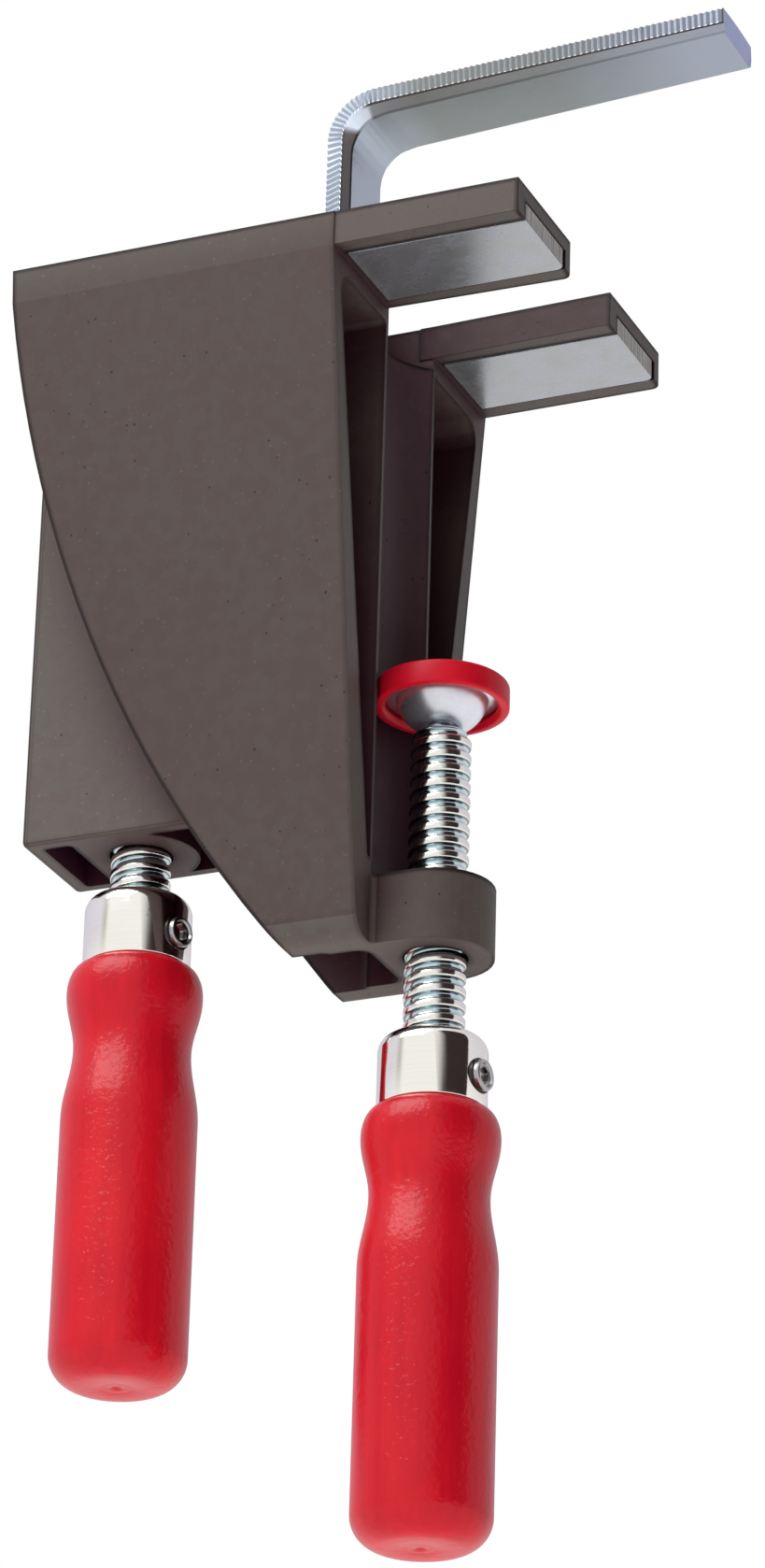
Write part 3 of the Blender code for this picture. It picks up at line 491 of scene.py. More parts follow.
def make_lacquer_finish():
    finish, tree, shader = new_finish("red lacquer")
    streaks = use_group(tree, drawn_lines, Stretch=(420, 420, 26), Detail=4.0)["Value"]
    cloud = use_group(tree, blotches, Scale=45.0, Contrast=1.2)["Value"]
    color = ramp(tree, streaks, (0.3, (0.60, 0.004, 0.018)), (0.7, (0.78, 0.010, 0.022)))
    color = blend(tree, 0.35, color, ramp(tree, cloud, (0.3, (0.58, 0.002, 0.020)),
                                          (0.7, (0.82, 0.014, 0.020))))
    height = number(tree, "MULTIPLY_ADD", cloud, 0.6, streaks)
    bump = node(tree, "Bump", {"Height": height, "Strength": 0.25, "Distance": 0.12 * mm})
    skin = node(tree, "TexNoise", {"Scale": 900.0, "Detail": 2.0, "Vector": object_place(tree)})
    dimples = node(tree, "Bump", {"Height": skin.outputs["Fac"], "Strength": 1.0, "Distance": 0.25 * mm})
    plug(tree, shader, Base_Color=color, Roughness=number(tree, "MULTIPLY_ADD", cloud, 0.15, 0.28),
         Normal=bump.outputs[0], Specular_IOR_Level=0.16, Coat_Weight=0.3, Coat_Roughness=0.06,
         Coat_Normal=dimples.outputs[0])
    return finish


def make_pad_finish():
    finish, tree, shader = new_finish("red pad plastic")
    cloud = use_group(tree, blotches, Scale=120.0, Contrast=1.2)["Value"]
    color = ramp(tree, cloud, (0.3, (0.68, 0.004, 0.024)), (0.7, (0.80, 0.009, 0.026)))
    skin = node(tree, "TexNoise", {"Scale": 2200.0, "Detail": 2.0, "Vector": object_place(tree)})
    bump = node(tree, "Bump", {"Height": skin.outputs["Fac"], "Strength": 0.15, "Distance": 0.05 * mm})
    plug(tree, shader, Base_Color=color, Roughness=number(tree, "MULTIPLY_ADD", cloud, 0.2, 0.3),
         Normal=bump.outputs[0], Specular_IOR_Level=0.25)
    return finish


lacquer_finish = make_lacquer_finish()
pad_finish = make_pad_finish()
print("finishes:", lacquer_finish.name, "and", pad_finish.name)

# %% [markdown]
# ## From a bmesh to a piece
# Each new piece is worked out in a bmesh, in the object's own frame, so its object stays at
# the origin. One helper turns the bmesh into an object, gives it its finish, lets it ride on
# its body, and hides the plain solid that it stands for.

# %% A helper that finishes a piece


def to_object(name, work, finish):
    """Object at the origin that takes over the bmesh."""
    mesh = bpy.data.meshes.new(name)
    work.to_mesh(mesh)
    work.free()
    mesh.materials.append(finish)
    thing = bpy.data.objects.new(name, mesh)
    bpy.context.scene.collection.objects.link(thing)
    return thing


def put_piece(name, work, body, finish, replaced, smooth=True):
    bmesh.ops.recalc_face_normals(work, faces=work.faces)
    piece = to_object(name, work, finish)
    if smooth:
        piece.data.shade_smooth()
    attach(piece, body)
    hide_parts(replaced)
    print(f"{name}: {len(piece.data.polygons)} faces")
    return piece


def weld(work, distance=0.002 * mm):
    bmesh.ops.remove_doubles(work, verts=work.verts, dist=distance)


def weigh_normals(piece):
    """Lets the flat faces keep their flat look beside their rounded edges."""
    step = piece.modifiers.new("flat faces stay flat", "WEIGHTED_NORMAL")
    step.weight = 100
    step.keep_sharp = True


# %% [markdown]
# ## The casting
# The imported body already has the right walls, pockets and bores, but its edges are sharp as
# a knife, and no casting leaves its mould like that. A copy of its mesh is merged, its flat
# triangles are joined into large faces, and every sharp edge with room beside it gets a real
# bevel. A wider bevel would fold over itself where the fingers meet the body.
#
# Before that, the faces get their marks of painted shade. They are found by where they lie
# and which way they look: the outer flanks, the round nose boss, the fingers' near sides and
# the open channel.

# %% Round the casting's edges


def merged_copy(name):
    work = bmesh.new()
    work.from_mesh(solids[name].data)
    weld(work)
    bmesh.ops.dissolve_limit(work, angle_limit=math.radians(1.5), verts=work.verts,
                             edges=work.edges)
    return work


def room_beside(edge):
    """How far the narrower of the two faces reaches from the edge."""
    start = edge.verts[0].co
    along = (edge.verts[1].co - start).normalized()
    return min(max((vert.co - start - along * (vert.co - start).dot(along)).length for vert in face.verts)
               for face in edge.link_faces)


def round_edges(work, radius, least_angle, segments=2):
    sharp = [edge for edge in work.edges
             if len(edge.link_faces) == 2 and edge.calc_face_angle(0) > math.radians(least_angle)
             and room_beside(edge) > radius * 2.2]
    made = bmesh.ops.bevel(work, geom=sharp, offset=radius, offset_type="OFFSET", segments=segments,
                           profile=0.5, affect="EDGES", clamp_overlap=False, material=-1)
    return made["faces"]


finger_root_x = -7.5 * mm
finger_end_x = 25 * mm
channel_rear_x = -60 * mm
channel_half_width = 11.2 * mm
flank_least_y = 13 * mm
boss_top_z = -40 * mm
casting_edge_radius = 0.13 * mm
insert_edge_radius = 0.12 * mm
least_sharp_angle = 25


def make_housing():
    work = merged_copy("housing")
    # marks of painted shade: along the edges, on the flanks and on the inside faces
    line = work.faces.layers.float.new("edge_shade")
    flank = work.faces.layers.float.new("flank")
    inside = work.faces.layers.float.new("inside")
    for face in work.faces:
        place, looks = face.calc_center_median(), face.normal
        if abs(looks.y) > 0.9 and abs(place.y) > flank_least_y and place.x < finger_root_x:
            face[flank] = 0.6 if abs(looks.z) < 0.05 else 1.0
        elif place.z < boss_top_z and place.x > finger_root_x and abs(looks.z) < 0.3:
            face[flank] = 0.9 * max(-looks.y, 0)
        elif looks.y < -0.9 and place.x > finger_root_x:
            on_near_finger = place.y < -flank_least_y
            face[flank] = 0.5 if on_near_finger else 1.0
            face[inside] = 0.0 if on_near_finger else 0.6
        elif (abs(place.y) < channel_half_width and channel_rear_x < place.x < finger_root_x
              and abs(looks.z) < 0.5):
            face[inside] = 1.0
    rounded = round_edges(work, casting_edge_radius, least_sharp_angle)
    # painted shade on the rounded faces: a dark edge line and some flank shade
    for face in rounded:
        looks, place = face.normal, face.calc_center_median()
        outer = looks.z > 0.3 or looks.y > 0.3 or looks.x < -0.3
        finger_end = place.x > finger_end_x and looks.x > 0.3
        face[line] = 1.0 if outer or finger_end else 0.2
        face[flank] = 0.5
    print("round faces along the casting's edges:", len(rounded))
    piece = put_piece("rounded_housing", work, "frame", casting_finish, "housing")
    weigh_normals(piece)


make_housing()

# %% [markdown]
# ## The jaw inserts
# Two flat galvanised steels are let into the fingers, and their ends still show the ridges
# of the saw.

# %% Make the jaw inserts


def make_inserts():
    for side in ("front", "rear"):
        name = f"{side}_jaw_insert"
        work = merged_copy(name)
        round_edges(work, insert_edge_radius, least_sharp_angle)
        piece = put_piece(f"{side}_insert_steel", work, "frame", insert_finish, name)
        weigh_normals(piece)


make_inserts()

# %% [markdown]
# ## The hook bar
# The bar is drawn steel with teeth along both edges, bent once into an L. It is modelled
# straight, by a spin with no angle, and then laid along the L: every point keeps its depth in
# the bar and takes its place on the leg, the bend or the arm. While the bar is straight it is
# easy to say which face is which, so that is when its painted shade is marked. The bar is
# thickest in the bend, where the steel was pushed together, and a short table gives its thickness.

# %% Measure the bar and its path

bar_low, bar_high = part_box("hook_bar")
bar_half_width = 8.0 * mm
bar_thickness = 5.2 * mm
bar_band = 3.2 * mm
bar_edge_inset = 0.7 * mm
bend_radius = 10.4 * mm
bend_turn = math.radians(180 - 92.1)
bend_length = bend_radius * bend_turn
tooth_pitch = 1.25 * mm
tooth_depth = 0.32 * mm
thickness_shares = ((-0.23, 1), (-0.1, 1.05), (0, 1.17), (0.25, 1.29), (0.5, 1.34), (0.75, 1.33),
                    (1, 1.27), (1.18, 1.18), (6.0, 1.0))


def thickness_at(way):
    """Thickness of the bar, by steps along the way counted in lengths of the bend."""
    place = (way - leg_length) / bend_length
    if place <= thickness_shares[0][0]:
        return bar_thickness
    for (first, thick), (last, next_thick) in zip(thickness_shares, thickness_shares[1:]):
        if place <= last:
            part = (place - first) / (last - first)
            return bar_thickness * (thick + (next_thick - thick) * part)
    return bar_thickness * thickness_shares[-1][1]


def along_hook(depth, across, way):
    """Lays a point of the straight bar along the L."""
    turn = min(max((way - leg_length) / bend_radius, 0), bend_turn)
    center = Vector((bar_low.x + bend_radius, across, bar_low.z + leg_length))
    beyond = min(way - leg_length, 0) + max(way - leg_length - bend_length, 0)
    inward = Vector((math.cos(turn), 0, -math.sin(turn)))
    along = Vector((math.sin(turn), 0, math.cos(turn)))
    return center - inward * (bend_radius - depth) + along * beyond


leg_length = bar_high.z - bar_low.z - bend_radius
# the arm still rises a little, so the bend's top lies below the tip of the bar
for _ in range(8):
    tip = along_hook(0, 0, leg_length + bend_length)
    arm_length = (bar_high.x - tip.x - bar_thickness * math.cos(bend_turn)) / math.sin(bend_turn)
    top = along_hook(0, 0, leg_length + bend_length + arm_length).z
    leg_length -= top - bar_high.z
print("leg", round(leg_length / mm, 2), "arm", round(arm_length / mm, 2), "mm")

# %% [markdown]
# The straight bar is one closed skin: a ring of section points, spun upwards in half tooth
# steps. Its upper end is cut into strips, because the tip is crowned and needs flat faces.

# %% Spin the straight bar
face_steps = [2.2 * mm, 4.4 * mm, 6.4 * mm]
chamfer_step = 0.3 * mm
chamfer_edge = 0.12 * mm
bar_length = leg_length + bend_length + arm_length
tooth_steps = round(bar_length / tooth_pitch) * 2
half_tooth = bar_length / tooth_steps


def hook_section(half_width, tip):
    """Half of the bar's section, from the outer face round the edge to the inner face."""
    edge = [(0, half_width), (0.35 * mm, half_width), (bar_band * 0.5, half_width),
            (bar_band - 0.25 * mm, half_width), (bar_band, half_width),
            (bar_band + chamfer_step, half_width - chamfer_edge),
            (bar_thickness - chamfer_step, tip + chamfer_edge)]
    outer = [(0, across) for across in face_steps]
    inner = [(bar_thickness, across) for across in reversed(face_steps)]
    return outer + edge + [(bar_thickness, tip - 0.2 * mm)] + inner


def straight_bar():
    work = bmesh.new()
    half = hook_section(bar_half_width, bar_half_width - bar_edge_inset)
    other_half = [(depth, -across) for depth, across in reversed(half)]
    section = [(0, 0)] + half + [(bar_thickness, 0)] + other_half
    ring = [work.verts.new((depth, across, 0)) for depth, across in section]
    edges = [work.edges.new((ring[i - 1], ring[i])) for i in range(len(ring))]
    bmesh.ops.spin(work, geom=ring + edges, cent=(0, 0, 0), axis=(0, 0, 1),
                   dvec=(0, 0, half_tooth), angle=0, steps=tooth_steps, use_merge=False)
    weld(work)
    bmesh.ops.holes_fill(work, edges=[edge for edge in work.edges if edge.is_boundary])
    for across in [0] + face_steps + [-face_step for face_step in face_steps]:
        at_tip = [vert for vert in work.verts
                  if vert.co.z > bar_length - half_tooth / 2 and abs(vert.co.y - across) < 0.01 * mm]
        bmesh.ops.connect_vert_pair(work, verts=at_tip)
    bmesh.ops.recalc_face_normals(work, faces=work.faces)
    return work


print("half teeth along the bar:", tooth_steps)

# %% [markdown]
# Next each face is marked with its painted shade. On the toothed band the flanks that look
# down the bar get the darker painted shade, and the chamfer beside the band carries a painted
# dark reflection away from the bend only.

# %% Say how dark each face is


def painted_dark_of(face):
    """Painted shade and dark reflection of a face of the straight bar, from 0 for none to 1 for black."""
    depth, across, way = face.calc_center_median()
    looks_along = face.normal.z
    bend_part = (way - leg_length) / bend_length
    at_side = abs(looks_along) < 0.5
    if way > bar_length - half_tooth and depth < bar_band and across < 0 and at_side:
        return 1.0
    if abs(looks_along) > 0.5 or abs(across) < bar_half_width - 1.2 * mm:
        return 0.0
    if depth < bar_band:
        return 0.05 if looks_along >= 0 else 0.3
    if depth < bar_band + chamfer_step:
        return min(max(abs(bend_part - 0.5) * 5 - 0.9, 0.1), 1)
    nearness = 1 - min((way - leg_length) / arm_length, 1)
    dark = 0.25 + 0.5 * nearness if bend_part > 0.5 else 0.95
    return min(max(abs(bend_part - 0.55) * 4 - 0.8, 0.2), dark)


# %% [markdown]
# Last, every point is moved: every second ring is drawn in for the grooves, the inner half of
# the bar is thickened in the bend, and the whole bar is laid along the L. The teeth on the
# leg slant a little, and the slant fades out before the bend.

# %% Lay the toothed bar along the L
tip_crown = 0.15 * mm
tip_chamfer = 0.3 * mm
tooth_slant = 0.35
slant_fade = 6 * mm


def laid_point(point):
    """Where a point of the straight bar goes in the finished hook."""
    depth, across, way = point
    groove = round(way / half_tooth) % 2 == 1
    if depth > bar_band - 0.01 * mm:
        share = (thickness_at(way) - bar_band) / (bar_thickness - bar_band)
        depth = bar_band + (depth - bar_band) * share
    elif groove:
        across -= math.copysign(tooth_depth, across)
        depth = max(depth, 0.1 * mm)
    if way > bar_length - half_tooth / 2:
        way = bar_length - tip_crown * (across / bar_half_width) ** 2
        way -= tip_chamfer * (depth > bar_thickness * 0.97)
    elif depth < bar_band:
        way += (depth - bar_band) * tooth_slant * min(max((leg_length - way) / slant_fade, 0), 1)
    return along_hook(depth, across, max(way, 0))


def make_hook_bar():
    work = straight_bar()
    painted_dark = work.faces.layers.float.new("painted_dark")
    for face in work.faces:
        face[painted_dark] = painted_dark_of(face)
    for vert in work.verts:
        vert.co = laid_point(vert.co)
    put_piece("toothed_hook_bar", work, "hook", hook_finish, "hook_bar", smooth=False)


make_hook_bar()

# %% [markdown]
# ## The spindles
# Both have a trapezoidal thread of about 12 mm with 3 mm of pitch, rolled and zinc plated, and
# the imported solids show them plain. The outline below is in millimetres. One pitch of
# the thread's outline is spun round the axis while it climbs, which draws one turn of the
# helix. The turn is copied upwards, two, four, eight turns at a time. Each turn ends where
# the next begins, and merging doubles closes the surface.
# A plane cuts the helix at both ends, and the cut is capped.

# %% Turn a thread
thread_pitch = 3.0 * mm
thread_outline = [(4.92, 0.0), (4.92, 0.34), (5.0, 0.46), (5.6, 0.66), (5.82, 0.82), (5.9, 1.08),
                  (5.9, 1.92), (5.82, 2.18), (5.6, 2.34), (5.0, 2.54), (4.92, 2.66), (4.92, 3.0)]
thread_steps = 40
thread_core_radius = 4.6 * mm
lift_neck_radius = 4.1 * mm
lift_shoulder_z = -41.5 * mm
plain_foot_length = 36 * mm
lap = 0.2 * mm


def thread_surface(work, low, high):
    """Right-hand thread round the Z axis, open at both ends, cut from low to high."""
    start = low - 2 * thread_pitch
    points = [work.verts.new((radius * mm, 0, start + height * mm)) for radius, height in thread_outline]
    edges = [work.edges.new(pair) for pair in zip(points, points[1:])]
    bmesh.ops.spin(work, geom=points + edges, cent=(0, 0, 0), axis=(0, 0, 1),
                   dvec=(0, 0, thread_pitch / thread_steps), angle=2 * math.pi, steps=thread_steps,
                   use_merge=False)
    turns = 1
    while start + (turns - 1) * thread_pitch < high:
        copied = bmesh.ops.duplicate(work, geom=work.verts[:] + work.edges[:] + work.faces[:])["geom"]
        bmesh.ops.translate(work, vec=(0, 0, turns * thread_pitch),
                            verts=[item for item in copied if isinstance(item, bmesh.types.BMVert)])
        turns *= 2
    weld(work)
    for height, side in ((low, -1), (high, 1)):
        bmesh.ops.bisect_plane(work, geom=work.verts[:] + work.edges[:] + work.faces[:], dist=1e-7,
                               plane_co=(0, 0, height), plane_no=(0, 0, side), clear_outer=True)


def chamfer_thread(work, end):
    """Chamfers the thread's upper end: a point's reach is held to its distance from the end."""
    for vert in work.verts:
        reach = math.hypot(vert.co.x, vert.co.y)
        limit = thread_core_radius + abs(end - vert.co.z) * 0.9
        if reach > limit and vert.co.z <= end:
            vert.co.x *= limit / reach
            vert.co.y *= limit / reach


def spin_outline(work, outline, steps=64):
    """Pairs of radius and height spun once round the Z axis, poles and seam closed."""
    points = [work.verts.new((radius, 0, height)) for radius, height in outline]
    edges = [work.edges.new(pair) for pair in zip(points, points[1:])]
    bmesh.ops.spin(work, geom=points + edges, cent=(0, 0, 0), axis=(0, 0, 1), angle=2 * math.pi,
                   steps=steps, use_merge=True)
    weld(work)


def spin_rod(work, radius, high, low):
    """Plain round rod on the Z axis."""
    spin_outline(work, [(0, high), (radius, high), (radius, low), (0, low)])


def move_all(work, x):
    bmesh.ops.translate(work, vec=(x, 0, 0), verts=work.verts)


print("thread outline:", len(thread_outline), "points,", thread_steps, "steps a turn")

# %% [markdown]
# A spindle is a stretch of thread with a plain rod below it, which the ferrule hides. The
# lift spindle also has a neck above its shoulder, where it turns in the carriage.

# %% Make both spindles


def fill_ends(work):
    bmesh.ops.holes_fill(work, edges=[edge for edge in work.edges if edge.is_boundary], sides=0)


def make_clamp_spindle():
    low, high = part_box("clamp_spindle")
    foot = low.z + plain_foot_length
    work = bmesh.new()
    thread_surface(work, foot, high.z)
    chamfer_thread(work, high.z)
    fill_ends(work)
    spin_rod(work, thread_core_radius, foot + lap, low.z)
    put_piece("threaded_clamp_spindle", work, "clamp_screw", clamp_thread_finish,
              "clamp_spindle")


def make_lift_spindle():
    low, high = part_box("lift_spindle")
    foot = low.z + plain_foot_length
    work = bmesh.new()
    thread_surface(work, foot, lift_shoulder_z)
    fill_ends(work)
    spin_rod(work, thread_core_radius, foot + lap, low.z)
    spin_rod(work, lift_neck_radius, high.z, lift_shoulder_z - lap)
    move_all(work, lift_x)
    put_piece("threaded_lift_spindle", work, "lift_screw", lift_thread_finish,
              "lift_spindle")


make_clamp_spindle()
make_lift_spindle()

# %% [markdown]
# ## The ferrules
# A ferrule is drawn from sheet, so its shoulder is round and its lower edge is a thin lip.
# It is spun as one closed wall, with more points round the shoulder than the solid has.
#
# A set screw with a hexagon socket holds each ferrule. It starts from a circle that is
# extruded ring by ring: up the dark gap round the screw, over its rounded cup and down into
# the socket, whose last ring is drawn onto six sides. It is wider and stands prouder than
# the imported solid, as the photograph shows it.

# %% Make the ferrules and their screws
ferrule_radius = 10.4 * mm
ferrule_height = 14.5 * mm
ferrule_wall = 0.9 * mm
ferrule_shoulder = 3.2 * mm
ferrule_mouth = 6.2 * mm
screw_drop = 9.1 * mm
screw_stand = 1.3 * mm
screw_radius = 3.1 * mm
socket_radius = 1.8 * mm
socket_depth = 1.7 * mm
screw_rings = ((4.0 * mm, 1.1), (0.3 * mm, 1.1), (0.0, 0.98), (0.8 * mm, 0.98), (0.28 * mm, 0.93),
               (0.12 * mm, 0.84), (0.0, 0.76), (-0.45 * mm, 0.68))


def arc_points(center, radius, start, end, steps):
    """Points of a round stretch from start to end, in degrees."""
    return [(center[0] + radius * math.cos(math.radians(start + (end - start) * i / steps)),
             center[1] + radius * math.sin(math.radians(start + (end - start) * i / steps)))
            for i in range(steps + 1)]


def make_ferrule(side, body, x, top):
    low = top - ferrule_height
    inside = ferrule_radius - ferrule_wall
    outline = [(ferrule_mouth, top - 0.2 * mm), (ferrule_mouth + 0.2 * mm, top)]
    outline += arc_points((ferrule_radius - ferrule_shoulder, top - ferrule_shoulder),
                          ferrule_shoulder, 90, 0, 10)
    outline += [(ferrule_radius, low + 0.3 * mm), (ferrule_radius - 0.15 * mm, low),
                (inside, low), (inside, top - ferrule_shoulder - 1.2 * mm)]
    outline += arc_points((inside - 2.3 * mm, top - 3.5 * mm), 2.3 * mm, 0, 90, 6)
    outline += [(ferrule_mouth, top - 1.2 * mm), (ferrule_mouth, top - 0.2 * mm)]
    work = bmesh.new()
    spin_outline(work, outline, 96)
    move_all(work, x)
    put_piece(f"{side}_nickel_ferrule", work, body, nickel_finish,
              f"{side}_ferrule")


def grow_ring(work, edges):
    """Extrudes a ring of edges, and gives back the new points and the new ring."""
    made = bmesh.ops.extrude_edge_only(work, edges=edges)["geom"]
    verts = [item for item in made if isinstance(item, bmesh.types.BMVert)]
    ring = [item for item in made if isinstance(item, bmesh.types.BMEdge)
            and all(vert in verts for vert in item.verts)]
    return verts, ring


def make_set_screw(side, body, x, top, turn):
    """The set screw with its gap and socket, on the ferrule's flank."""
    work = bmesh.new()
    ring = bmesh.ops.create_circle(work, segments=48, radius=screw_radius, cap_ends=False)["verts"]
    bmesh.ops.translate(work, vec=(0, 0, -5.5 * mm), verts=ring)
    edges = list(work.edges)
    for rise, size in screw_rings:
        verts, edges = grow_ring(work, edges)
        bmesh.ops.translate(work, vec=(0, 0, rise), verts=verts)
        growth = screw_radius * size / max(vert.co.xy.length for vert in verts)
        bmesh.ops.scale(work, vec=(growth, growth, 1), verts=verts)
    verts, edges = grow_ring(work, edges)
    for vert in verts:
        angle = math.atan2(vert.co.y, vert.co.x) % (math.pi / 3) - math.pi / 6
        reach = socket_radius * math.cos(math.pi / 6) / math.cos(angle)
        vert.co.xy = vert.co.xy.normalized() * reach
        vert.co.z -= 0.03 * mm
    verts, edges = grow_ring(work, edges)
    bmesh.ops.translate(work, vec=(0, 0, -socket_depth), verts=verts)
    fill_ends(work)
    # painted shade: the gap round the screw and the socket's floor
    painted_dark = work.faces.layers.float.new("painted_dark")
    for face in work.faces:
        middle = face.calc_center_median()
        gap = middle.z < -1.1 * mm and middle.xy.length > 2 * mm
        face[painted_dark] = 0.95 if gap else 0.8 * (middle.xy.length < socket_radius * 0.95)
    place = (Matrix.Translation((x, 0, top - screw_drop)) @ Matrix.Rotation(turn, 4, "Z")
             @ Matrix.Translation((ferrule_radius + screw_stand, 0, 0))
             @ Matrix.Rotation(math.pi / 2, 4, "Y"))
    bmesh.ops.transform(work, matrix=place, verts=work.verts)
    put_piece(f"{side}_socket_screw", work, body, screw_finish,
              f"{side}_set_screw", smooth=False)


# %% [markdown]
# ## The grips
# The grips are turned: a round shoulder, a waist for the fingers, a long straight barrel
# and a rounded end. The end keeps the little ring and the centre mark of the lathe.

# %% Make the grips
handle_radius, waist_radius = 13.1 * mm, 11.3 * mm
handle_length = 83.8 * mm
end_radius = 6.2 * mm
tenon_length = 10.5 * mm
shoulder_drop, waist_drop, barrel_drop = 5.2 * mm, 16.7 * mm, 31.0 * mm


def grip_outline(top):
    """Pairs of radius and height from the shoulder down to the lathe's centre mark."""
    low = top - handle_length
    line = [(0, top), (ferrule_radius - 0.6 * mm, top)]
    for i in range(9):
        angle = math.pi / 2 * i / 8
        line.append((ferrule_radius + (handle_radius - ferrule_radius) * math.sin(angle),
                     top - shoulder_drop * (1 - math.cos(angle))))
    for first, last, falling in ((shoulder_drop, waist_drop, True), (waist_drop, barrel_drop, False)):
        for i in range(1, 13):
            ease = (1 - math.cos(math.pi * i / 12)) / 2
            level = ease if falling else 1 - ease
            line.append((handle_radius - (handle_radius - waist_radius) * level,
                         top - first - (last - first) * i / 12))
    barrel = handle_length - barrel_drop - end_radius
    line += [(handle_radius, top - barrel_drop - barrel * i / 6) for i in range(1, 6)]
    line += arc_points((handle_radius - end_radius, low + end_radius), end_radius, 0, -84, 12)
    flat = line[-1][0]
    line += [(flat * 0.8, low + 0.02 * mm), (3.6 * mm, low), (3.2 * mm, low + 0.1 * mm),
             (2.4 * mm, low + 0.14 * mm), (1.2 * mm, low + 0.05 * mm), (0.7 * mm, low + 0.35 * mm),
             (0, low + 0.5 * mm)]
    return line


def make_grip(side, body, x, ferrule_top):
    top = ferrule_top - ferrule_height - 0.3 * mm
    work = bmesh.new()
    spin_outline(work, grip_outline(top), 96)
    spin_rod(work, ferrule_radius - 1.2 * mm, top + tenon_length, top - 0.3 * mm)
    move_all(work, x)
    put_piece(f"{side}_lacquered_grip", work, body, lacquer_finish, f"{side}_handle")


for side, body, x, top, turn in (("clamp", "clamp_screw", 0.0, -150.8 * mm, math.radians(-8)),
                                 ("lift", "lift_screw", lift_x, -114.0 * mm, math.radians(-16))):
    make_ferrule(side, body, x, top)
    make_set_screw(side, body, x, top, turn)
    make_grip(side, body, x, top)

# %% [markdown]
# ## The swivel pad
# A pressed steel plate is domed down over the ball and carries a soft red cap round its
# rim. Seen from below the dome is a small bell with a bright flange round it.

# %% Make the pad's plate and cap
pad_top = -78.1 * mm
cap_skin = 1.4 * mm
dome_radius = 7.6 * mm
dome_foot_z = -87.08 * mm


def bell(start, end, radius, steps):
    """Round stretch of a given radius that bulges outwards from start to end."""
    first, last = Vector(start), Vector(end)
    chord = last - first
    aside = Vector((chord.y, -chord.x)).normalized()
    center = (first + last) / 2 + aside * math.sqrt(radius ** 2 - (chord.length / 2) ** 2)
    spoke = first - center
    angle = math.degrees(math.atan2(spoke.y, spoke.x))
    sweep = math.degrees(2 * math.asin(chord.length / 2 / radius))
    return arc_points(center, radius, angle, angle - sweep, steps)


def make_pad_plate():
    work = bmesh.new()
    top = pad_top - cap_skin
    outline = [(0, top), (10.8 * mm, top), (11.0 * mm, top - 0.2 * mm), (11.0 * mm, top - 1.3 * mm),
               (10.8 * mm, top - 1.5 * mm), (9.1 * mm, top - 1.5 * mm)]
    outline += bell((8.9 * mm, top - 1.6 * mm), (4.0 * mm, dome_foot_z), dome_radius, 12)
    outline += [(3.1 * mm, dome_foot_z), (3.2 * mm, -86.2 * mm), (3.9 * mm, -84.6 * mm),
                (4.0 * mm, top - 0.9 * mm), (0, top - 0.9 * mm)]
    spin_outline(work, outline, 72)
    put_piece("domed_pad_plate", work, "pad", steel_finish, "pad_plate")


def make_pad_cap():
    work = bmesh.new()
    radius, inner, low = 13.0 * mm, 11.3 * mm, pad_top - 4.9 * mm
    outline = [(0, pad_top), (radius - 0.7 * mm, pad_top)]
    outline += arc_points((radius - 0.7 * mm, pad_top - 0.7 * mm), 0.7 * mm, 75, 0, 4)
    outline += [(radius, low + 0.5 * mm)]
    outline += arc_points((radius - 0.5 * mm, low + 0.5 * mm), 0.5 * mm, -20, -90, 3)
    outline += [(inner + 0.3 * mm, low), (inner, low + 0.2 * mm), (inner - 0.6 * mm, low + 0.8 * mm),
                (inner - 0.6 * mm, pad_top - 3.8 * mm), (inner, pad_top - 3.2 * mm),
                (inner, pad_top - 1.1 * mm), (0, pad_top - 1.1 * mm)]
    spin_outline(work, outline, 96)
    put_piece("red_pad_cap", work, "pad", pad_finish, "pad_cap")


make_pad_plate()
make_pad_cap()

# %% [markdown]
# ## Pieces that keep their solid
# The carriage, its pins, the thrust washers, the clip and the ball joint are small plain
# parts inside the clamp. Their solids are already right, so they only get a real finish.

# %% Give the inner solids their finishes
for name, finish in (("hook_carriage", carriage_finish), ("upper_hook_pin", screw_finish),
                     ("lower_hook_pin", screw_finish), ("lower_thrust_washer", steel_finish),
                     ("upper_thrust_washer", steel_finish), ("retaining_clip", screw_finish),
                     ("ball_stud", steel_finish), ("ball_ring", steel_finish)):
    solids[name].data.materials.clear()
    solids[name].data.materials.append(finish)
print("inner solids dressed:", 8)

# %% [markdown]
# ## Studio
# The photograph is a cut-out on white, lit softly from high on the front left, with a dark
# stretch of room on the right that the nickel and the lacquer both mirror. Three soft lamps
# do this: a strong one in front, a weak one behind the clamp and a weak one below it. The
# last two are kept out of reflections, because the photograph's metal doesn't show them.
#
# The world is plain white for the camera and a dim, slightly pink grey for soft fill light. A
# mirror sees white too, but above the horizon it sees walls whose tone changes round the room.

# %% Light the scene
fill_level = 0.22
fill_tint = (1.0, 0.90, 0.93)
white = (1.0, 1.0, 1.0)
wall_tones = ((0.0, (0.54, 0.51, 0.57)), (0.19, (0.72, 0.70, 0.80)), (0.335, (0.80, 0.78, 0.87)),
              (0.365, (0.56, 0.56, 0.50)), (0.392, (1.0, 1.0, 0.98)), (0.62, white),
              (0.77, (0.82, 0.80, 0.84)), (0.9, (0.72, 0.70, 0.76)))


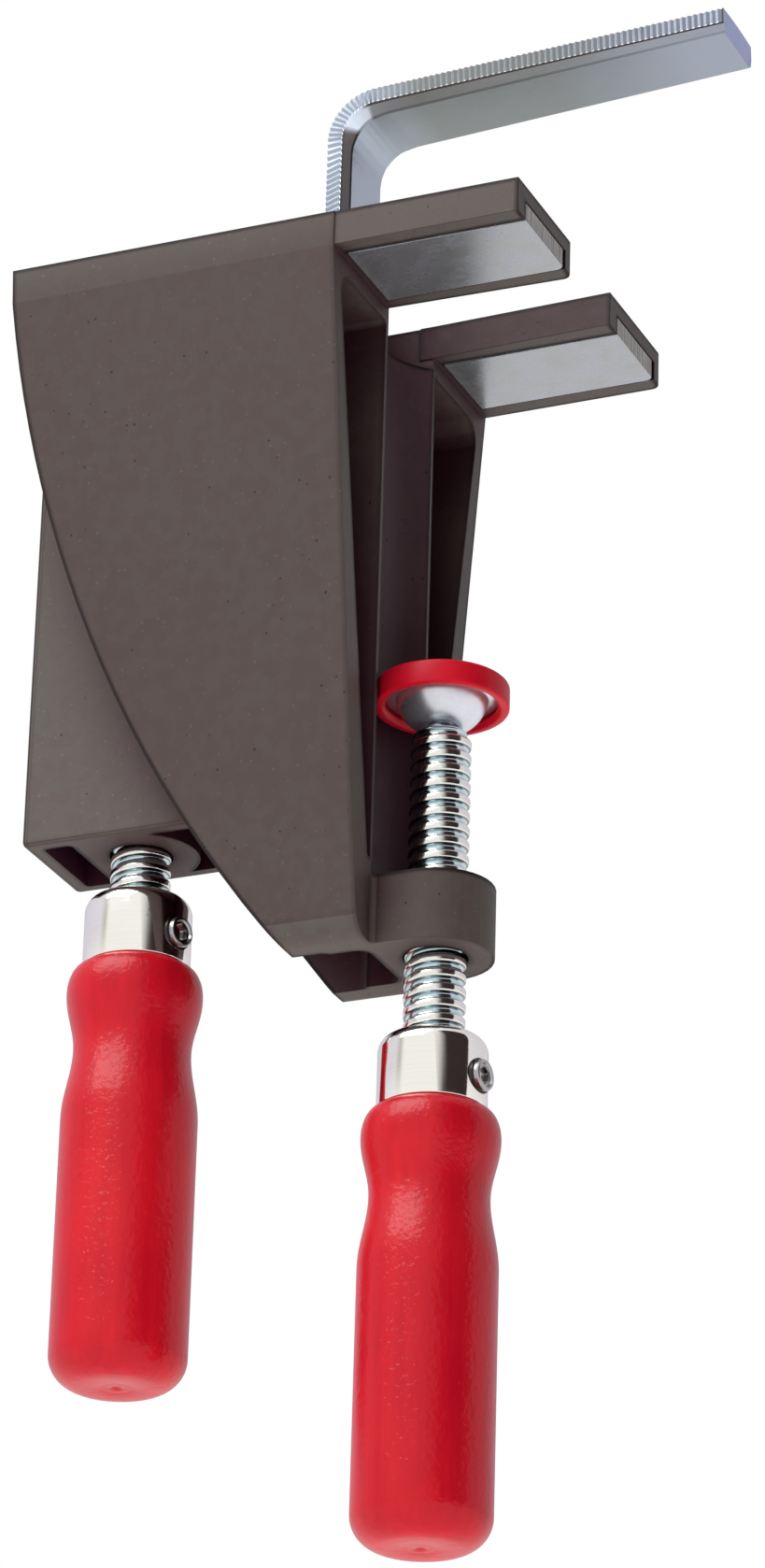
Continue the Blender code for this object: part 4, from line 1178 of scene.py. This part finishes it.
def make_world():
    world = bpy.data.worlds.new("pale room")
    bpy.context.scene.world = world
    world.use_nodes = True
    tree = world.node_tree
    path = node(tree, "LightPath")
    seen = number(tree, "MAXIMUM", path.outputs["Is Camera Ray"], path.outputs["Is Transmission Ray"])
    seen = number(tree, "MAXIMUM", seen, path.outputs["Is Glossy Ray"])
    strength = number(tree, "MULTIPLY_ADD", seen, 1 - fill_level, fill_level)
    tree.links.new(strength, tree.nodes["Background"].inputs["Strength"])
    towards = node(tree, "SeparateXYZ", {"Vector": node(tree, "TexCoord").outputs["Generated"]}).outputs
    turned = number(tree, "ARCTAN2", towards["X"], number(tree, "MULTIPLY", towards["Y"], -1.0))
    round_room = number(tree, "MULTIPLY_ADD", turned, 0.5 / math.pi, 0.5)
    walls = ramp(tree, round_room, *wall_tones)
    above = node(tree, "MapRange", {"Value": towards["Z"], "From Min": -0.1, "From Max": 0.25}).outputs[0]
    above = number(tree, "MULTIPLY", above, path.outputs["Is Glossy Ray"])
    mirrored = blend(tree, above, white, walls)
    tree.links.new(blend(tree, seen, fill_tint, mirrored), tree.nodes["Background"].inputs["Color"])


clamp_middle = (solid_low + solid_high) / 2


def facing_clamp(azimuth, elevation, distance):
    """Place and turn of something flat that faces the clamp's middle, angles in degrees."""
    away = direction(math.radians(azimuth), math.radians(elevation))
    return (Matrix.Translation(clamp_middle + away * distance)
            @ away.to_track_quat("Z", "Y").to_matrix().to_4x4())


def soft_lamp(name, place, size, power, mirrored=True):
    lamp = bpy.data.lights.new(name, "AREA")
    lamp.shape = "RECTANGLE"
    lamp.size, lamp.size_y = size
    lamp.energy = power
    thing = bpy.data.objects.new(name, lamp)
    thing.visible_camera = False
    thing.visible_glossy = mirrored
    bpy.context.scene.collection.objects.link(thing)
    thing.matrix_world = place


make_world()
soft_lamp("high front softbox", facing_clamp(-26, 48, 1.1), (1.0, 0.8), 11)
soft_lamp("light from behind", facing_clamp(205, 40, 1.2), (0.9, 0.9), 3.5, False)
soft_lamp("light through the table", facing_clamp(30, -55, 1.0), (1.0, 1.0), 4.3, False)
print("lamps:", 3)

# %% [markdown]
# The clamp hangs free, so the floor lies just under the longer grip where its spindle is
# screwed out all the way. The camera looks up from beneath the floor, so only its upper side
# is drawn. It lets shadow rays and mirrored rays through, and it fades out towards its rim,
# so that from any other side it runs into the white background without a line.

# %% Lay the floor
clamp_drop = 32.5 * mm
floor_fade_start, floor_fade_end = 0.35, 1.2


def make_floor():
    finish, tree, shader = new_finish("pale floor")
    cloud = use_group(tree, blotches, Scale=6.0, Contrast=0.4)["Value"]
    plug(tree, shader, Base_Color=ramp(tree, cloud, (0.3, 0.80), (0.7, 0.86)), Roughness=0.8)
    clear = node(tree, "BsdfTransparent")
    path = node(tree, "LightPath").outputs
    through = number(tree, "MAXIMUM", path["Is Glossy Ray"], path["Is Transmission Ray"])
    through = number(tree, "MAXIMUM", through, path["Is Shadow Ray"])
    through = number(tree, "MAXIMUM", through, node(tree, "NewGeometry").outputs["Backfacing"])
    away = node(tree, "VectorMath", {0: object_place(tree)}, operation="LENGTH")
    fading = node(tree, "MapRange", {"Value": away.outputs["Value"], "From Min": floor_fade_start,
                                     "From Max": floor_fade_end},
                  interpolation_type="SMOOTHSTEP").outputs[0]
    through = number(tree, "MAXIMUM", through, fading)
    both = node(tree, "MixShader", {0: through, 1: shader.outputs[0], 2: clear.outputs[0]})
    tree.links.new(both.outputs[0], tree.nodes["Material Output"].inputs["Surface"])
    work = bmesh.new()
    bmesh.ops.create_grid(work, x_segments=8, y_segments=8, size=1.5)
    bmesh.ops.translate(work, vec=(0, 0, solid_low.z - clamp_drop), verts=work.verts)
    to_object("floor", work, finish)


make_floor()
print("floor in mm:", round((solid_low.z - clamp_drop) / mm, 1))

# %% [markdown]
# The dark stretch of room is a card to the right of the clamp. It is hidden from the camera
# and casts no shadow, and it shows in reflections. A mark on its points makes its near side
# grow transparent, so that the reflection has one soft edge and one hard one.

# %% Set the dark card that the metal mirrors
card_azimuth, card_elevation, card_distance = 64, 24, 0.72
card_fade_azimuth, card_fade_width = 46, 16


def make_dark_card():
    finish, tree, shader = new_finish("dark card")
    plug(tree, shader, Base_Color=(0.03, 0.018, 0.018), Roughness=0.9)
    clear = node(tree, "BsdfTransparent").outputs[0]
    both = node(tree, "MixShader", {0: face_mark(tree, "thin"), 1: shader.outputs[0], 2: clear})
    tree.links.new(both.outputs[0], tree.nodes["Material Output"].inputs["Surface"])
    work = bmesh.new()
    bmesh.ops.create_grid(work, x_segments=24, y_segments=1, size=0.5)
    bmesh.ops.transform(work, verts=work.verts,
                        matrix=facing_clamp(card_azimuth, card_elevation, card_distance))
    thin = work.verts.layers.float.new("thin")
    for vert in work.verts:
        seen_at = math.degrees(math.atan2(vert.co.x - clamp_middle.x, clamp_middle.y - vert.co.y))
        vert[thin] = min(max((card_fade_azimuth - seen_at) / card_fade_width, 0), 1)
    card = to_object("dark card", work, finish)
    card.visible_camera = False
    card.visible_shadow = False


make_dark_card()
print("card's middle in degrees to the right:", card_azimuth)

# %% [markdown]
# ## The end
# The colours go to the picture as they are.

bpy.context.scene.view_settings.view_transform = "Standard"
